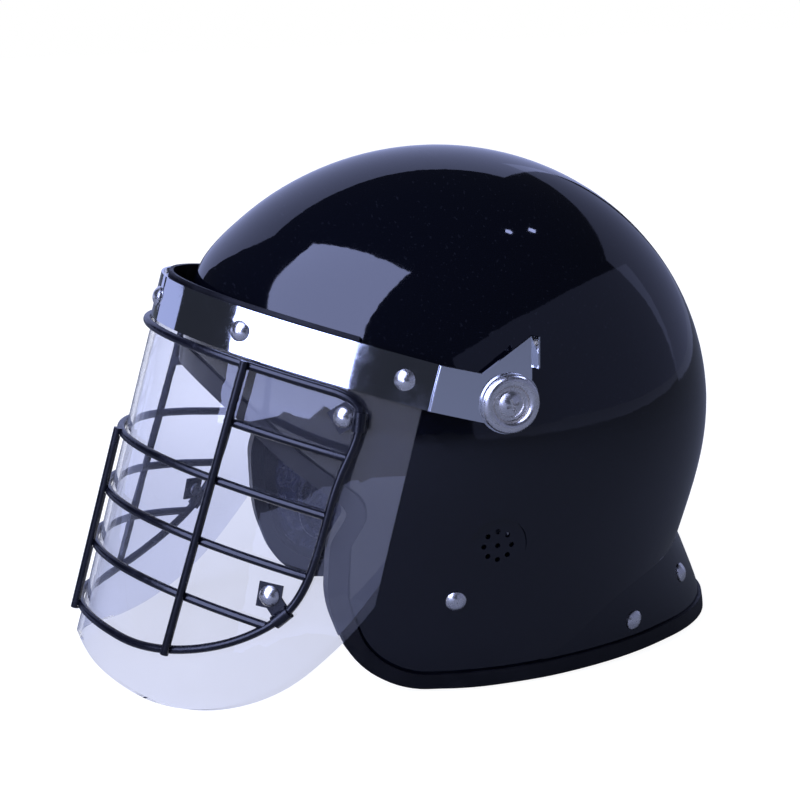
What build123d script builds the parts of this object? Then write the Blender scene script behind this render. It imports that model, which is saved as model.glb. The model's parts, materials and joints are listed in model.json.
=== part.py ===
from build123d import *
import math
import os

# A riot helmet with a raised-and-lowered face visor: a one-piece glossy shell with a
# flared neck skirt, a rubber edging, a foam liner with pads, a chin strap, and a clear
# visor that hangs from a chromed band and carries a welded wire grille.
# Working frame: millimetres, +X is the wearer's left, -Y the front, +Z up, with the
# origin in the middle of the visor's pivot axis. The finished pieces are then set down
# so that the helmet stands on Z = 0 with its box centred over the origin.

# Shell: the driving sizes
shell_half_width = 117.0
shell_half_length = 149.0
dome_rise = 140.5
shell_pitch = 4.0
dome_centre_y = -0.8
dome_centre_z = -34.4
shell_wall = 4.0
rim_drop = 148.5

# Visor: the driving sizes
visor_reach = 147.0
visor_half_width = 118.0
visor_lean = 14.44
lens_wall = 2.5
lens_drop = 188.0
band_height = 22.0
band_wall = 1.2
grille_wire = 4.2
pivot_screw = 6.0

# Fits and clearances
overrun = 20.0
fit_gap = 0.05
running_gap = 0.08
soft_gap = 0.4

SIDES = (1, -1)


def on_side(shape, side):
    """A piece drawn on the wearer's left, or its mirror image on the right."""
    return shape if side > 0 else mirror(shape, about=Plane.YZ)


def both_sides(shape):
    return [on_side(shape, side) for side in SIDES]


def x_disc(radius, start, end, y=0.0, z=0.0):
    """A round disc or pin along X, from one X to another."""
    centre = (start + end) / 2
    return Pos(centre, y, z) * Rot(0, 90, 0) * Cylinder(radius, abs(end - start))


# Shell form: one loft from the crown down over the brow, with a flared skirt added.
# Above the dome's centre: height, and how far the front is drawn in, as shares
dome_section_shares = [
    (0.9998, 1.000),
    (0.990, 1.000),
    (0.961, 1.000),
    (0.914, 1.000),
    (0.848, 1.000),
    (0.766, 1.000),
    (0.669, 1.000),
    (0.520, 0.945),
    (0.380, 0.905),
    (0.270, 0.885),
    (0.140, 0.864),
]
# Under the dome's centre: depth, half width, rear reach and front reach, as shares
wall_section_shares = [
    (0.000, 1.000, 1.000, 0.857),
    (0.270, 0.966, 0.965, 0.850),
    (0.520, 0.915, 0.885, 0.830),
    (0.750, 0.865, 0.815, 0.805),
    (1.000, 0.820, 0.780, 0.790),
]
# Under the pivot: depth, half width and rear reach of the skirt, as shares
skirt_section_shares = [
    (0.56, 0.885, 0.810),
    (0.65, 0.898, 0.884),
    (0.72, 0.893, 0.924),
    (0.79, 0.882, 0.956),
    (0.88, 0.862, 0.995),
    (0.96, 0.840, 1.018),
    (1.06, 0.820, 1.030),
]
skirt_front_share = 0.60
wall_depth = 132.0


def ring_section(half_width, rear, front, height):
    """A horizontal section: a rear and a front half ellipse on the same half width."""
    back = EllipticalCenterArc((0, 0), half_width, rear, start_angle=0, arc_size=180)
    nose = EllipticalCenterArc((0, 0), half_width, front, start_angle=180, arc_size=180)
    return Pos(0, 0, height) * Wire([back, nose])


def set_on_dome(shape):
    """Place a shape drawn round the dome's centre, pitched as the shell is."""
    return Pos(0, dome_centre_y, dome_centre_z) * Rot(shell_pitch, 0, 0) * shape


def dome_form(inset):
    """The closed loft of crown, brow and wall, drawn in by an inset."""
    rise = dome_rise - inset
    width = shell_half_width - inset
    length = shell_half_length - inset
    sections = []
    for height_share, front_share in dome_section_shares:
        round_share = math.sqrt(1 - height_share**2)
        section = ring_section(
            width * round_share,
            length * round_share,
            length * round_share * front_share,
            height_share * rise,
        )
        sections.append(section)
    for depth_share, width_share, rear_share, front_share in wall_section_shares:
        section = ring_section(
            width_share * shell_half_width - inset,
            rear_share * shell_half_length - inset,
            front_share * shell_half_length - inset,
            -depth_share * wall_depth,
        )
        sections.append(section)
    return set_on_dome(Solid.make_loft(sections))


def shell_form(inset, with_skirt=True):
    """The closed form of the shell, drawn in by an inset (negative: swollen)."""
    form = dome_form(inset)
    if not with_skirt:
        return form
    sections = []
    for depth_share, width_share, rear_share in skirt_section_shares:
        section = ring_section(
            width_share * shell_half_width - inset,
            rear_share * shell_half_length - inset,
            skirt_front_share * shell_half_length,
            -depth_share * rim_drop,
        )
        sections.append(section)
    return form + Solid.make_loft(sections)


# Rim line seen from the side: y and z as shares of half length and drop, and a radius
rim_corner_shares = [
    (-1.340, 0.085, 0),
    (-0.945, 0.085, 0.20),
    (-0.645, -0.215, 0.40),
    (-0.468, -0.352, 0.05),
    (-0.520, -0.475, 0.10),
    (-0.520, -0.690, 0.40),
    (-0.440, -0.905, 0.27),
    (-0.280, -0.992, 0.27),
    (0.200, -0.985, 1.30),
    (0.700, -0.966, 1.30),
    (1.000, -0.972, 0.60),
    (1.340, -0.972, 0),
]


def side_prism(face, half_depth):
    """A face drawn in the side view (its X is the helmet's Y), run across the helmet."""
    return Plane(origin=(0, 0, 0), x_dir=(0, 1, 0), z_dir=(1, 0, 0)) * extrude(
        face, amount=half_depth, both=True
    )


def rim_region(grow):
    """Everything above and behind the rim line, grown or drawn in, across the helmet."""
    corners = []
    radii = []
    for y_share, z_share, radius_share in rim_corner_shares:
        corners.append((y_share * shell_half_length, z_share * rim_drop))
        radii.append(radius_share * rim_drop)
    line = FilletPolyline(corners, radius=radii[1:-1])
    top = 2 * dome_rise
    first, last = line @ 0, line @ 1
    frame = Polyline(last, (last.X, top), (first.X, top), first)
    face = make_face([*line.edges(), *frame.edges()])
    if grow:
        face = offset(face, amount=grow)
    return side_prism(face, 2 * shell_half_width)


shell_outer = shell_form(0)
shell_inner = shell_form(shell_wall)
shell = (shell_outer - shell_inner) & rim_region(0)

# Rim edging: a soft rubber channel pressed over the whole rim
edging_lip = 1.5
edging_height = 8.5
edging_sole = 1.7
edging_zone = rim_region(edging_sole) - rim_region(edging_sole - edging_height)
edging = edging_zone & shell_form(-edging_lip)
edging = edging - shell_form(shell_wall + edging_lip)
rim_edging = edging - shell

# Ear vents: a flat spot with a ring of holes and one in the middle, on both sides
vent_y = -2.3
vent_z = -71.8
vent_face_x = 111.6
vent_spot_radius = 14.5
vent_ring_radius = 7.0
vent_hole = 2.6
vent_count = 8
vent_cut = x_disc(vent_spot_radius, vent_face_x, vent_face_x + overrun, vent_y, vent_z)
drill_start = vent_face_x - overrun
drill_end = vent_face_x + overrun
vent_cut += x_disc(vent_hole / 2, drill_start, drill_end, vent_y, vent_z)
for index in range(vent_count):
    angle = 2 * math.pi * index / vent_count
    hole_y = vent_y + vent_ring_radius * math.cos(angle)
    hole_z = vent_z + vent_ring_radius * math.sin(angle)
    vent_cut += x_disc(vent_hole / 2, drill_start, drill_end, hole_y, hole_z)
shell = shell - both_sides(vent_cut)

# Pivot stack on each side: bush through the shell, friction washer, two visor plates,
# nylon washer, dished cup washer and a pan-head screw into a flanged nut
plate_outer_x = 118.6
backing_wall = 1.2
plate_inner_x = plate_outer_x - band_wall
backing_inner_x = plate_inner_x - backing_wall
friction_wall = 0.8
friction_radius = 11.0
nylon_wall = 0.6
nylon_radius = 13.0
bush_flange_radius = 11.0
bush_neck_radius = 4.5
bush_spigot_radius = 6.0
bush_bore_radius = pivot_screw / 2 + running_gap
bush_seat_x = 108.0
nut_flange_radius = 10.0
nut_flange_wall = 2.0
nut_barrel_radius = 5.0
cup_radius = 14.2
cup_height = 4.6
cup_wall = 1.4
cup_floor_radius = 8.2
screw_head_radius = 6.2
screw_head_height = 3.6
screw_edge_share = 0.33
cross_width = 1.5
cross_length = 6.4
cross_depth = 2.2
cross_turn = 20.0

bush_end_x = backing_inner_x - friction_wall
bush = x_disc(bush_flange_radius, bush_seat_x, bush_end_x - fit_gap) - shell_outer
bush += x_disc(bush_spigot_radius, bush_seat_x, bush_end_x - fit_gap)
bush += x_disc(bush_neck_radius, bush_seat_x, plate_outer_x + fit_gap)
bush -= x_disc(bush_bore_radius, bush_seat_x - overrun, plate_outer_x + overrun)
shell -= both_sides(x_disc(bush_spigot_radius, bush_seat_x - overrun, plate_outer_x))

friction_washer = x_disc(friction_radius, bush_end_x, backing_inner_x - fit_gap)
friction_washer -= x_disc(bush_neck_radius + fit_gap, bush_seat_x, plate_outer_x + overrun)

nylon_start = plate_outer_x + fit_gap
nylon_washer = x_disc(nylon_radius, nylon_start, nylon_start + nylon_wall)
nylon_washer -= x_disc(bush_bore_radius, bush_seat_x, plate_outer_x + overrun)

# The cup washer is turned: a flat floor under the screw head inside a rolled rim
cup_base = nylon_start + nylon_wall
roll_radius = (cup_radius - cup_floor_radius) / 2
roll_centre = cup_floor_radius + roll_radius
cup_profile = make_face(
    Polyline(
        (bush_bore_radius, 0),
        (cup_radius - cup_wall / 2, 0),
        (cup_radius, cup_wall / 2),
        (cup_radius, cup_height - roll_radius),
    )
    + ThreePointArc(
        (cup_radius, cup_height - roll_radius),
        (roll_centre, cup_height),
        (cup_floor_radius, cup_height - roll_radius),
    )
    + Polyline(
        (cup_floor_radius, cup_height - roll_radius),
        (cup_floor_radius - cup_wall / 4, cup_wall),
        (bush_bore_radius, cup_wall),
        (bush_bore_radius, 0),
    )
)


def turned_on_x(profile, start_x):
    """Turn a profile of (radius, height) about X, its height running outwards."""
    solid = revolve(Plane.XZ * profile, axis=Axis.Z)
    return Pos(start_x, 0, 0) * Rot(0, 90, 0) * solid


cup_washer = turned_on_x(cup_profile, cup_base)

head_base = cup_base + cup_wall
screw_tip_x = bush_seat_x - shell_wall - nut_flange_wall
screw_length = head_base - screw_tip_x


def turned_head(head_radius, head_height, edge_share, shank_radius, shank_end, tail=()):
    """A domed head on a shank as a (radius, height) profile, with its seat at height 0."""
    edge = head_height * edge_share
    crown = head_height - edge
    dome_radius = (head_radius**2 + crown**2) / (2 * crown)
    half_turn = math.asin(head_radius / dome_radius) / 2
    shoulder = (
        dome_radius * math.sin(half_turn),
        head_height - dome_radius * (1 - math.cos(half_turn)),
    )
    lower = [(0, head_height), (0, shank_end), *tail]
    lower += [(shank_radius, 0), (head_radius, 0), (head_radius, edge)]
    dome = ThreePointArc((head_radius, edge), shoulder, (0, head_height))
    return make_face([*Polyline(lower).edges(), *dome.edges()])


screw_profile = turned_head(
    screw_head_radius, screw_head_height, screw_edge_share, pivot_screw / 2, -screw_length,
    ((pivot_screw / 2, -screw_length),),
)
pivot_screw_solid = turned_on_x(screw_profile, head_base)
cross_x = head_base + screw_head_height - cross_depth / 2
for angle in (0, 90):
    slot = Box(cross_depth, cross_length, cross_width)
    pivot_screw_solid -= Pos(cross_x, 0, 0) * Rot(angle + cross_turn, 0, 0) * slot

nut = x_disc(nut_flange_radius, screw_tip_x, bush_seat_x) & shell_inner
nut += x_disc(nut_barrel_radius, screw_tip_x, bush_seat_x)
nut -= x_disc(pivot_screw / 2, screw_tip_x - overrun, bush_seat_x + overrun)

# Visor sheet: in its own frame Z runs up the sheet and -Y forwards, X across
bow_share = 0.728
hook_share = 0.031
flare_across = 0.0004
flare_forward = 0.0001
sheet_points = 13


def plan_depth(x):
    """How far the band's outer face stands ahead of the pivots at a given X."""
    share = x / visor_half_width
    return visor_reach * (1 - bow_share * share**2 - hook_share * share**4)


def sheet_point(x, offset_out, height):
    """A point off the band's outer face, spread by the sheet's slight cone."""
    share = x / visor_half_width
    slope = visor_reach / visor_half_width * (2 * bow_share * share + 4 * hook_share * share**3)
    length = math.hypot(slope, 1)
    out_x = x + offset_out * slope / length
    out_depth = plan_depth(x) + offset_out / length
    return (
        out_x * (1 - flare_across * height),
        -out_depth * (1 - flare_forward * height),
        height,
    )


def sheet_line(half_span, offset_out, height):
    """A smooth line across the sheet at one height."""
    points = []
    for index in range(sheet_points):
        x = half_span * (2 * index / (sheet_points - 1) - 1)
        points.append(sheet_point(x, offset_out, height))
    return Spline(points)


def sheet_solid(half_span, outer, inner, bottom, top):
    """A curved sheet between two offsets and two heights, with straight rulings."""
    sections = []
    for height in (bottom, top):
        front = sheet_line(half_span, outer, height)
        back = sheet_line(half_span, inner, height)
        ends = [Line(front @ 0, back @ 0), Line(front @ 1, back @ 1)]
        sections.append(Wire([*front.edges(), *back.edges(), *ends[0].edges(), *ends[1].edges()]))
    return Solid.make_loft(sections, ruled=True)


lens_outer_offset = -band_wall - fit_gap
lens_inner_offset = lens_outer_offset - lens_wall
lens_half_span = 115.3
lens_top_gap = 1.5
lens_top = band_height / 2 - lens_top_gap
lens_sheet = sheet_solid(lens_half_span, lens_outer_offset, lens_inner_offset, -lens_drop, lens_top)
# Lower outline seen from the front: x and height as shares of half width and drop
lens_outline_shares = [
    (1.05, 0.20),
    (1.05, -0.34),
    (1.012, -0.48),
    (0.990, -0.57),
    (0.962, -0.66),
    (0.926, -0.745),
    (0.870, -0.840),
    (0.79, -0.915),
    (0.70, -0.962),
    (0.56, -0.992),
    (0.40, -0.990),
    (0.22, -0.975),
    (0.00, -0.955),
]
outline_points = [(x * visor_half_width, z * lens_drop) for x, z in lens_outline_shares]
outline_points += [(-x, z) for x, z in reversed(outline_points[:-1])]
lens_line = Polyline(outline_points[0], outline_points[1])
lens_curve = Spline(outline_points[1:-1])
lens_end = Polyline(outline_points[-2], outline_points[-1], outline_points[0])
lens_face = make_face([*lens_line.edges(), *lens_curve.edges(), *lens_end.edges()])
lens_prism = Plane.XZ * extrude(lens_face, amount=2 * visor_reach)
visor_lens = lens_sheet & lens_prism

# Chromed band: the curved strip, a bend at each end and a flat end plate on the pivot
band_half = band_height / 2
bend_half_span = 117.4
disc_radius = 15.0
bush_hole_radius = bush_neck_radius + running_gap
band_strip = sheet_solid(bend_half_span, 0, -band_wall, -band_half, band_half)
bend_x, bend_y, _ = sheet_point(bend_half_span, 0, 0)
tail_top = (2.6, 33.0)
tail_foot = (8.2, 13.0)
notch_y = -16.5
bend_overlap = 0.6


def end_plate(outer_x, wall, with_tail):
    """A flat plate on the pivot with an arm forward to the bend, and a tail above it."""
    arm = Polyline(
        (bend_y, -band_half),
        (-disc_radius / 2, -band_half - bend_overlap),
        (0, 0),
        (notch_y, band_half),
        (bend_y, band_half),
        (bend_y, -band_half),
    )
    face = make_face(arm.edges()) + Circle(disc_radius)
    if with_tail:
        tail = Polyline((notch_y, band_half), tail_top, tail_foot, (0, 0), (notch_y, band_half))
        face += make_face(tail.edges())
    plate = Plane(origin=(outer_x, 0, 0), x_dir=(0, 1, 0), z_dir=(1, 0, 0)) * extrude(
        face, amount=-wall
    )
    return plate - x_disc(bush_hole_radius, outer_x - overrun, outer_x + overrun)


lip_length = 5.2
lip_angle = 60.0
lip_foot_share = 0.28
end_left = end_plate(plate_outer_x, band_wall, True)
# The tail's rear edge is folded outwards into a finger lip
lip_foot = tuple(t + lip_foot_share * (h - t) for t, h in zip(tail_foot, tail_top))
lip_run = math.hypot(tail_top[0] - lip_foot[0], tail_top[1] - lip_foot[1])
lip_lean = math.degrees(math.atan2(lip_foot[0] - tail_top[0], tail_top[1] - lip_foot[1]))
lip = Pos(0, lip_length / 2, lip_run / 2) * Box(band_wall, lip_length, lip_run)
lip = Pos(plate_outer_x - band_wall / 2, lip_foot[0], lip_foot[1]) * (
    Rot(lip_lean, 0, 0) * Rot(0, 0, -lip_angle) * Pos(0, -band_wall / 2, 0) * lip
)
end_left += lip
bend_fill = x_disc(band_wall, 0, band_height, 0, 0)
bend_fill = Pos(plate_outer_x - band_wall, bend_y, 0) * Rot(0, -90, 0) * Pos(-band_half, 0, 0) * bend_fill
end_left += bend_fill & Box(2 * plate_outer_x, 4 * visor_reach, band_height)
visor_band = band_strip + both_sides(end_left)

backing_plates = both_sides(end_plate(plate_inner_x, backing_wall, False) - visor_band)

# Rubber seal strip bonded behind the lens's upper edge, showing above the band
seal_wall = 1.8
seal_height = 9.0
seal_rise = 2.0
seal_half_span = 97.0
seal_outer = lens_inner_offset - fit_gap
seal_top = band_half + seal_rise
seal_strip = sheet_solid(
    seal_half_span, seal_outer, seal_outer - seal_wall, seal_top - seal_height, seal_top
)

# Dome-head rivets
rivet_head_radius = 5.0
rivet_head_height = 2.8
rivet_edge_share = 0.2
rivet_shank_radius = 2.0
rivet_tail_radius = 3.6
rivet_tail_height = 1.2


def sheet_frame(x, offset_out, height):
    """A plane on the sheet whose Z points out of it and whose Y runs up it."""
    step = visor_half_width / 1000
    here = Vector(*sheet_point(x, offset_out, height))
    across = Vector(*sheet_point(x + step, offset_out, height)) - here
    upward = Vector(*sheet_point(x, offset_out, height + step)) - here
    return Plane(origin=here, x_dir=across, z_dir=across.cross(upward))


def rivet(grip):
    """A rivet standing on Z: dome above, shank through the grip and a flat tail below."""
    tail_end = -grip - rivet_tail_height
    tail = ((rivet_tail_radius, tail_end), (rivet_tail_radius, -grip), (rivet_shank_radius, -grip))
    profile = turned_head(
        rivet_head_radius, rivet_head_height, rivet_edge_share, rivet_shank_radius, tail_end, tail
    )
    return revolve(Plane.XZ * profile, axis=Axis.Z)


rivet_bore_radius = rivet_shank_radius + fit_gap
band_rivet_shares = (-0.935, -0.513, 0, 0.513, 0.935)
band_grip = band_wall + lens_wall + 3 * fit_gap
band_rivets = []
rivet_bores = []
for share in band_rivet_shares:
    seat = sheet_frame(share * visor_half_width, fit_gap, 0)
    band_rivets.append(seat * rivet(band_grip))
    rivet_bores.append(seat * Cylinder(rivet_bore_radius, 2 * overrun))
visor_band -= rivet_bores
visor_lens -= rivet_bores

# Wire grille: a rounded frame wire, cross wires and three uprights, welded together
wire_radius = grille_wire / 2
wire_stand = 0.3
weld_seat_share = 0.72
cross_offset = lens_outer_offset + wire_stand + wire_radius
upright_offset = cross_offset + weld_seat_share * grille_wire
frame_half_span = 103.2
frame_top = -14.2
frame_bottom = -163.0
top_corner = 8.0
low_corner = 60.0
rung_heights = (-71.5, -102.0, -130.5)
eye_rung_height = -42.5
upright_x = 67.0
weld_gap = 0.2


def sheet_x(front_x, height):
    """The sheet's own X under an X seen from the front, without the cone's spread."""
    return front_x / (1 - flare_across * height)


def swept_wire(points, radius=wire_radius):
    """A round wire bent along a smooth line through its points."""
    line = Spline(points)
    return sweep(Plane(origin=line @ 0, z_dir=line % 0) * Circle(radius), path=line)


def cross_wire(x_start, x_end, height, count):
    """A cross wire that follows the sheet at one height."""
    points = []
    for index in range(count):
        x = x_start + (x_end - x_start) * index / (count - 1)
        points.append(sheet_point(sheet_x(x, height), cross_offset, height))
    return swept_wire(points)


def frame_corner(centre_x, centre_height, radius, start, end, count):
    """Points round one corner of the frame wire, by angle from +X, anticlockwise."""
    points = []
    for index in range(count):
        angle = math.radians(start + (end - start) * index / (count - 1))
        height = centre_height + radius * math.sin(angle)
        x = sheet_x(centre_x + radius * math.cos(angle), height)
        points.append(sheet_point(x, cross_offset, height))
    return points


top_run = frame_half_span - top_corner
low_run = frame_half_span - low_corner
low_centre = frame_bottom + low_corner
side_points = frame_corner(top_run, frame_top - top_corner, top_corner, 90, 0, 4)
side_step_shares = (0.33, 0.66)
for share in side_step_shares:
    height = frame_top - top_corner + share * (low_centre - frame_top + top_corner)
    side_points.append(sheet_point(sheet_x(frame_half_span, height), cross_offset, height))
side_points += frame_corner(low_run, low_centre, low_corner, 0, -90, 7)
side_line = Spline(side_points)
grille_side_left = swept_wire(side_points)
grille_side_right = on_side(grille_side_left, -1)
grille_top_wire = cross_wire(-top_run, top_run, frame_top, 9)
grille_bottom_wire = cross_wire(-low_run, low_run, frame_bottom, 7)


line_samples = 240


def frame_seat(height):
    """The plane across the left frame wire where it passes a given height."""
    steps = [index / line_samples for index in range(line_samples)]
    step = min(steps, key=lambda share: abs((side_line @ share).Z - height))
    return Plane(origin=side_line @ step, z_dir=side_line % step)


def weld_tool(front_x, height, turn):
    """A short straight length of wire on the sheet, to seat another wire against."""
    seat = sheet_frame(sheet_x(front_x, height), cross_offset, height)
    place = seat * Rot(0, 0, turn) * Rot(90, 0, 0)
    return place * Cylinder(wire_radius + weld_gap, 4 * grille_wire)


def frame_turn(height):
    """How far the frame wire has turned from upright at a given height."""
    drop = max(0, low_centre - height)
    return math.degrees(math.asin(drop / low_corner))


def seated_rung(x_start, height, count):
    """A cross wire cut to sit against the frame wire, from x_start or right across."""
    seat = frame_seat(height)
    x_end = seat.origin.X + grille_wire
    rung = cross_wire(-x_end if x_start is None else x_start, x_end, height, count)
    tool = seat * Cylinder(wire_radius + weld_gap, 4 * grille_wire)
    rung -= tool
    if x_start is None:
        rung -= on_side(tool, -1)
    return max(rung.solids(), key=lambda solid: solid.volume)


grille_rungs = [seated_rung(None, height, 9) for height in rung_heights]
grille_eye_rungs = both_sides(seated_rung(upright_x - wire_radius, eye_rung_height, 5))


def upright(front_x, crossings):
    """An upright wire laid over the cross wires and seated into each of them."""
    overhang = wire_radius + fit_gap
    heights = (crossings[0][0] + overhang, crossings[-1][0] - overhang)
    ends = [sheet_point(sheet_x(front_x, height), upright_offset, height) for height in heights]
    line = Line(*ends)
    wire = sweep(Plane(origin=line @ 0, z_dir=line % 0) * Circle(wire_radius), path=line)
    for height, turn in crossings:
        wire -= weld_tool(front_x, height, turn)
    return max(wire.solids(), key=lambda solid: solid.volume)


corner_height = low_centre - math.sqrt(low_corner**2 - (upright_x - low_run) ** 2)
across = 90
inner_crossings = [(height, across) for height in rung_heights]
side_crossings = [(frame_top, across), (eye_rung_height, across), *inner_crossings]
side_crossings.append((corner_height, -frame_turn(corner_height)))
side_upright = upright(upright_x, side_crossings)
middle_upright = upright(0, [*inner_crossings, (frame_bottom, across)])
grille_uprights = [*both_sides(side_upright), middle_upright]

# Grille clips: a square plate riveted to the lens, with a strap folded over the wire
clip_plate = 12.0
clip_wall = 1.0
clip_strap = 9.0
clip_wrap_gap = 0.35
clip_bore = wire_radius + clip_wrap_gap
clip_wrap = clip_bore + clip_wall
# Seats on the lens: X from the front, height and turn of the strap
clip_upper_x = 99.2
clip_upper_height = -24.5
clip_lower_x = 94.3
clip_lower_height = -116.5
clip_lower_turn = -40.0
clip_seats = (
    (clip_upper_x, clip_upper_height, 0),
    (clip_lower_x, clip_lower_height, clip_lower_turn),
)


def wire_crossing(seat):
    """Where the frame wire meets a clip's long axis, and its run there, in the clip's plane."""
    best = None
    for index in range(line_samples):
        spot = seat.to_local_coords(side_line @ (index / line_samples))
        if spot.X > 0 and (best is None or abs(spot.Y) < abs(best[0].Y)):
            best = (spot, index / line_samples)
    ahead = seat.to_local_coords(side_line @ (best[1] + 1 / line_samples))
    return best[0], ahead - best[0]


clip_clearance = swept_wire(side_points, wire_radius + fit_gap)
grille_clips = []
clip_rivets = []
for front_x, seat_height, turn in clip_seats:
    seat = sheet_frame(sheet_x(front_x, seat_height), lens_outer_offset + fit_gap, seat_height)
    seat = Plane(seat * Rot(0, 0, turn))
    spot, run = wire_crossing(seat)
    wrap_place = Plane(origin=(spot.X, 0, spot.Z), z_dir=run)
    plate = Pos(0, 0, clip_wall / 2) * Rot(0, 0, 45) * Box(clip_plate, clip_plate, clip_wall)
    strap = Pos(spot.X / 2, 0, clip_wall / 2) * Box(spot.X, clip_strap, clip_wall)
    clip = plate + strap + wrap_place * Cylinder(clip_wrap, clip_strap)
    clip -= wrap_place * Cylinder(clip_bore, overrun)
    clip -= Pos(0, 0, -overrun / 2) * Box(2 * overrun, overrun, overrun)
    clip -= Cylinder(rivet_bore_radius, overrun)
    clip = seat * clip - clip_clearance
    grille_clips += both_sides(max(clip.solids(), key=lambda solid: solid.volume))
    clip_grip = clip_wall + lens_wall + 3 * fit_gap - rivet_tail_height
    clip_rivets += both_sides(seat * Pos(0, 0, clip_wall + fit_gap) * rivet(clip_grip))
    counterbore_top = clip_wall + 2 * fit_gap - clip_grip
    counterbore = Cylinder(rivet_tail_radius + fit_gap, overrun)
    lens_bore = Cylinder(rivet_bore_radius, overrun)
    lens_bore += Pos(0, 0, counterbore_top - overrun / 2) * counterbore
    visor_lens -= both_sides(seat * lens_bore)

# Energy liner: a moulded foam cap inside the shell, with a pocket over each pivot nut
liner_wall = 20.0
liner_rim_gap = 12.0
liner_floor = -52.0
liner_inset = shell_wall + soft_gap
nut_pocket_gap = 3.0
above_floor = Pos(0, 0, liner_floor + dome_rise) * Box(
    3 * shell_half_width, 3 * shell_half_length, 2 * dome_rise
)
liner_zone = rim_region(-liner_rim_gap) & above_floor
head_inset = liner_inset + liner_wall
nut_pocket = x_disc(nut_flange_radius + nut_pocket_gap, screw_tip_x - nut_pocket_gap, shell_half_width)
liner_zone = liner_zone - both_sides(nut_pocket)
impact_liner = liner_zone & shell_form(liner_inset, with_skirt=False)
impact_liner -= shell_form(head_inset, with_skirt=False)

# Comfort pads on the liner: crown, brow and nape
pad_wall = 9.0
crown_pad_radius = 46.0
brow_pad_height = 24.0
brow_pad_width = 116.0
brow_pad_centre = 37.0
nape_pad_height = 40.0
nape_pad_width = 120.0
nape_pad_centre = -28.0


def liner_pad(tool):
    """A pad of even thickness on the liner's inner face, cut by a tool's outline."""
    back = dome_form(head_inset + soft_gap) & tool
    return back - dome_form(head_inset + pad_wall)


def band_tool(width, height, centre, side):
    """A rounded outline run to the front (side -1) or the back (side 1)."""
    outline = RectangleRounded(width, height, height / 3)
    return Pos(0, 0, centre) * (Plane.XZ * extrude(outline, amount=-side * shell_half_length))


crown_tool = Pos(0, dome_centre_y, dome_rise) * Cylinder(crown_pad_radius, 2 * dome_rise)
crown_pad = liner_pad(crown_tool)
brow_tool = band_tool(brow_pad_width, brow_pad_height, brow_pad_centre, -1)
brow_pad = liner_pad(brow_tool)
nape_tool = band_tool(nape_pad_width, nape_pad_height, nape_pad_centre, 1)
nape_pad = liner_pad(nape_tool)

# Chin strap: flat webbing, its front legs in one plane across the helmet
strap_width = 20.0
strap_wall = 2.0
strap_y = -21.0
strap_top_x = 100.0
strap_top_z = -89.0
strap_low_x = 92.3
strap_low_z = -128.0
strap_turn_x = 84.0
strap_run_z = -140.0
strap_bend = 8.0
buckle_centre_x = 54.0
buckle_width = 28.0
buckle_wall = 9.0
socket_length = 26.0
tongue_base = 12.0
strap_pocket = 8.0
pocket_gap = 0.3
socket_start_x = buckle_centre_x - socket_length / 2
socket_end_x = buckle_centre_x + socket_length / 2
tongue_end_x = socket_end_x + pocket_gap + tongue_base


def strap_leg(end_x, side):
    """Webbing from its anchor down the wall and in under the chin, up to end_x."""
    line = FilletPolyline(
        (strap_top_x, strap_top_z),
        (strap_low_x, strap_low_z),
        (strap_turn_x, strap_run_z),
        (side * end_x, strap_run_z),
        radius=strap_bend,
    )
    ribbon = Plane(origin=(0, strap_y, 0), x_dir=(1, 0, 0), z_dir=(0, -1, 0)) * extrude(
        trace(line, line_width=strap_wall), amount=strap_width / 2, both=True
    )
    return on_side(ribbon, side)


chin_strap_left = strap_leg(tongue_end_x - strap_pocket, 1)
chin_strap_right = strap_leg(socket_start_x + strap_pocket, -1)

# Side-release buckle: a hollow socket with side windows and a tongue with two prongs
buckle_corner = 3.0
prong_width = 3.0
prong_wall = 4.0
prong_length = 18.0
prong_spread = 8.4
barb_length = 6.0
barb_width = 3.6
guide_width = 5.0
socket_wall = 1.8
window_length = 9.0
cavity_wall = buckle_wall - 2 * socket_wall
buckle_place = Pos(0, strap_y, strap_run_z)
pocket_depth = strap_pocket + pocket_gap
pocket = Box(2 * pocket_depth, strap_width + 2 * pocket_gap, strap_wall + 2 * pocket_gap)
cavity_length = prong_length + pocket_gap


def rounded_block(length, width, wall, corner):
    """A flat block with its upright corners rounded."""
    return extrude(RectangleRounded(length, width, corner), amount=wall / 2, both=True)


socket = Pos(buckle_centre_x, 0, 0) * rounded_block(
    socket_length, buckle_width, buckle_wall, buckle_corner
)
socket -= Pos(socket_end_x, 0, 0) * Box(
    2 * cavity_length, buckle_width - 2 * socket_wall, cavity_wall
)
window_x = socket_end_x - cavity_length + window_length / 2
socket -= Pos(window_x, 0, 0) * Box(window_length, 2 * buckle_width, cavity_wall)
socket -= Pos(socket_start_x, 0, 0) * pocket
buckle_socket = buckle_place * socket

tongue = Pos(socket_end_x + pocket_gap + tongue_base / 2, 0, 0) * rounded_block(
    tongue_base, buckle_width, buckle_wall, buckle_corner
)
prong_root_x = socket_end_x + pocket_gap + buckle_corner
prong_tip_x = socket_end_x - prong_length
prong_run = prong_root_x - prong_tip_x
for y, width in ((-prong_spread, prong_width), (0, guide_width), (prong_spread, prong_width)):
    tongue += Pos(prong_tip_x + prong_run / 2, y, 0) * Box(prong_run, width, prong_wall)
for side in SIDES:
    barb_y = side * (prong_spread + prong_width / 2 + barb_width / 2)
    tongue += Pos(prong_tip_x + barb_length / 2, barb_y, 0) * Box(barb_length, barb_width, prong_wall)
tongue -= Pos(tongue_end_x, 0, 0) * pocket
buckle_tongue = buckle_place * tongue

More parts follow.
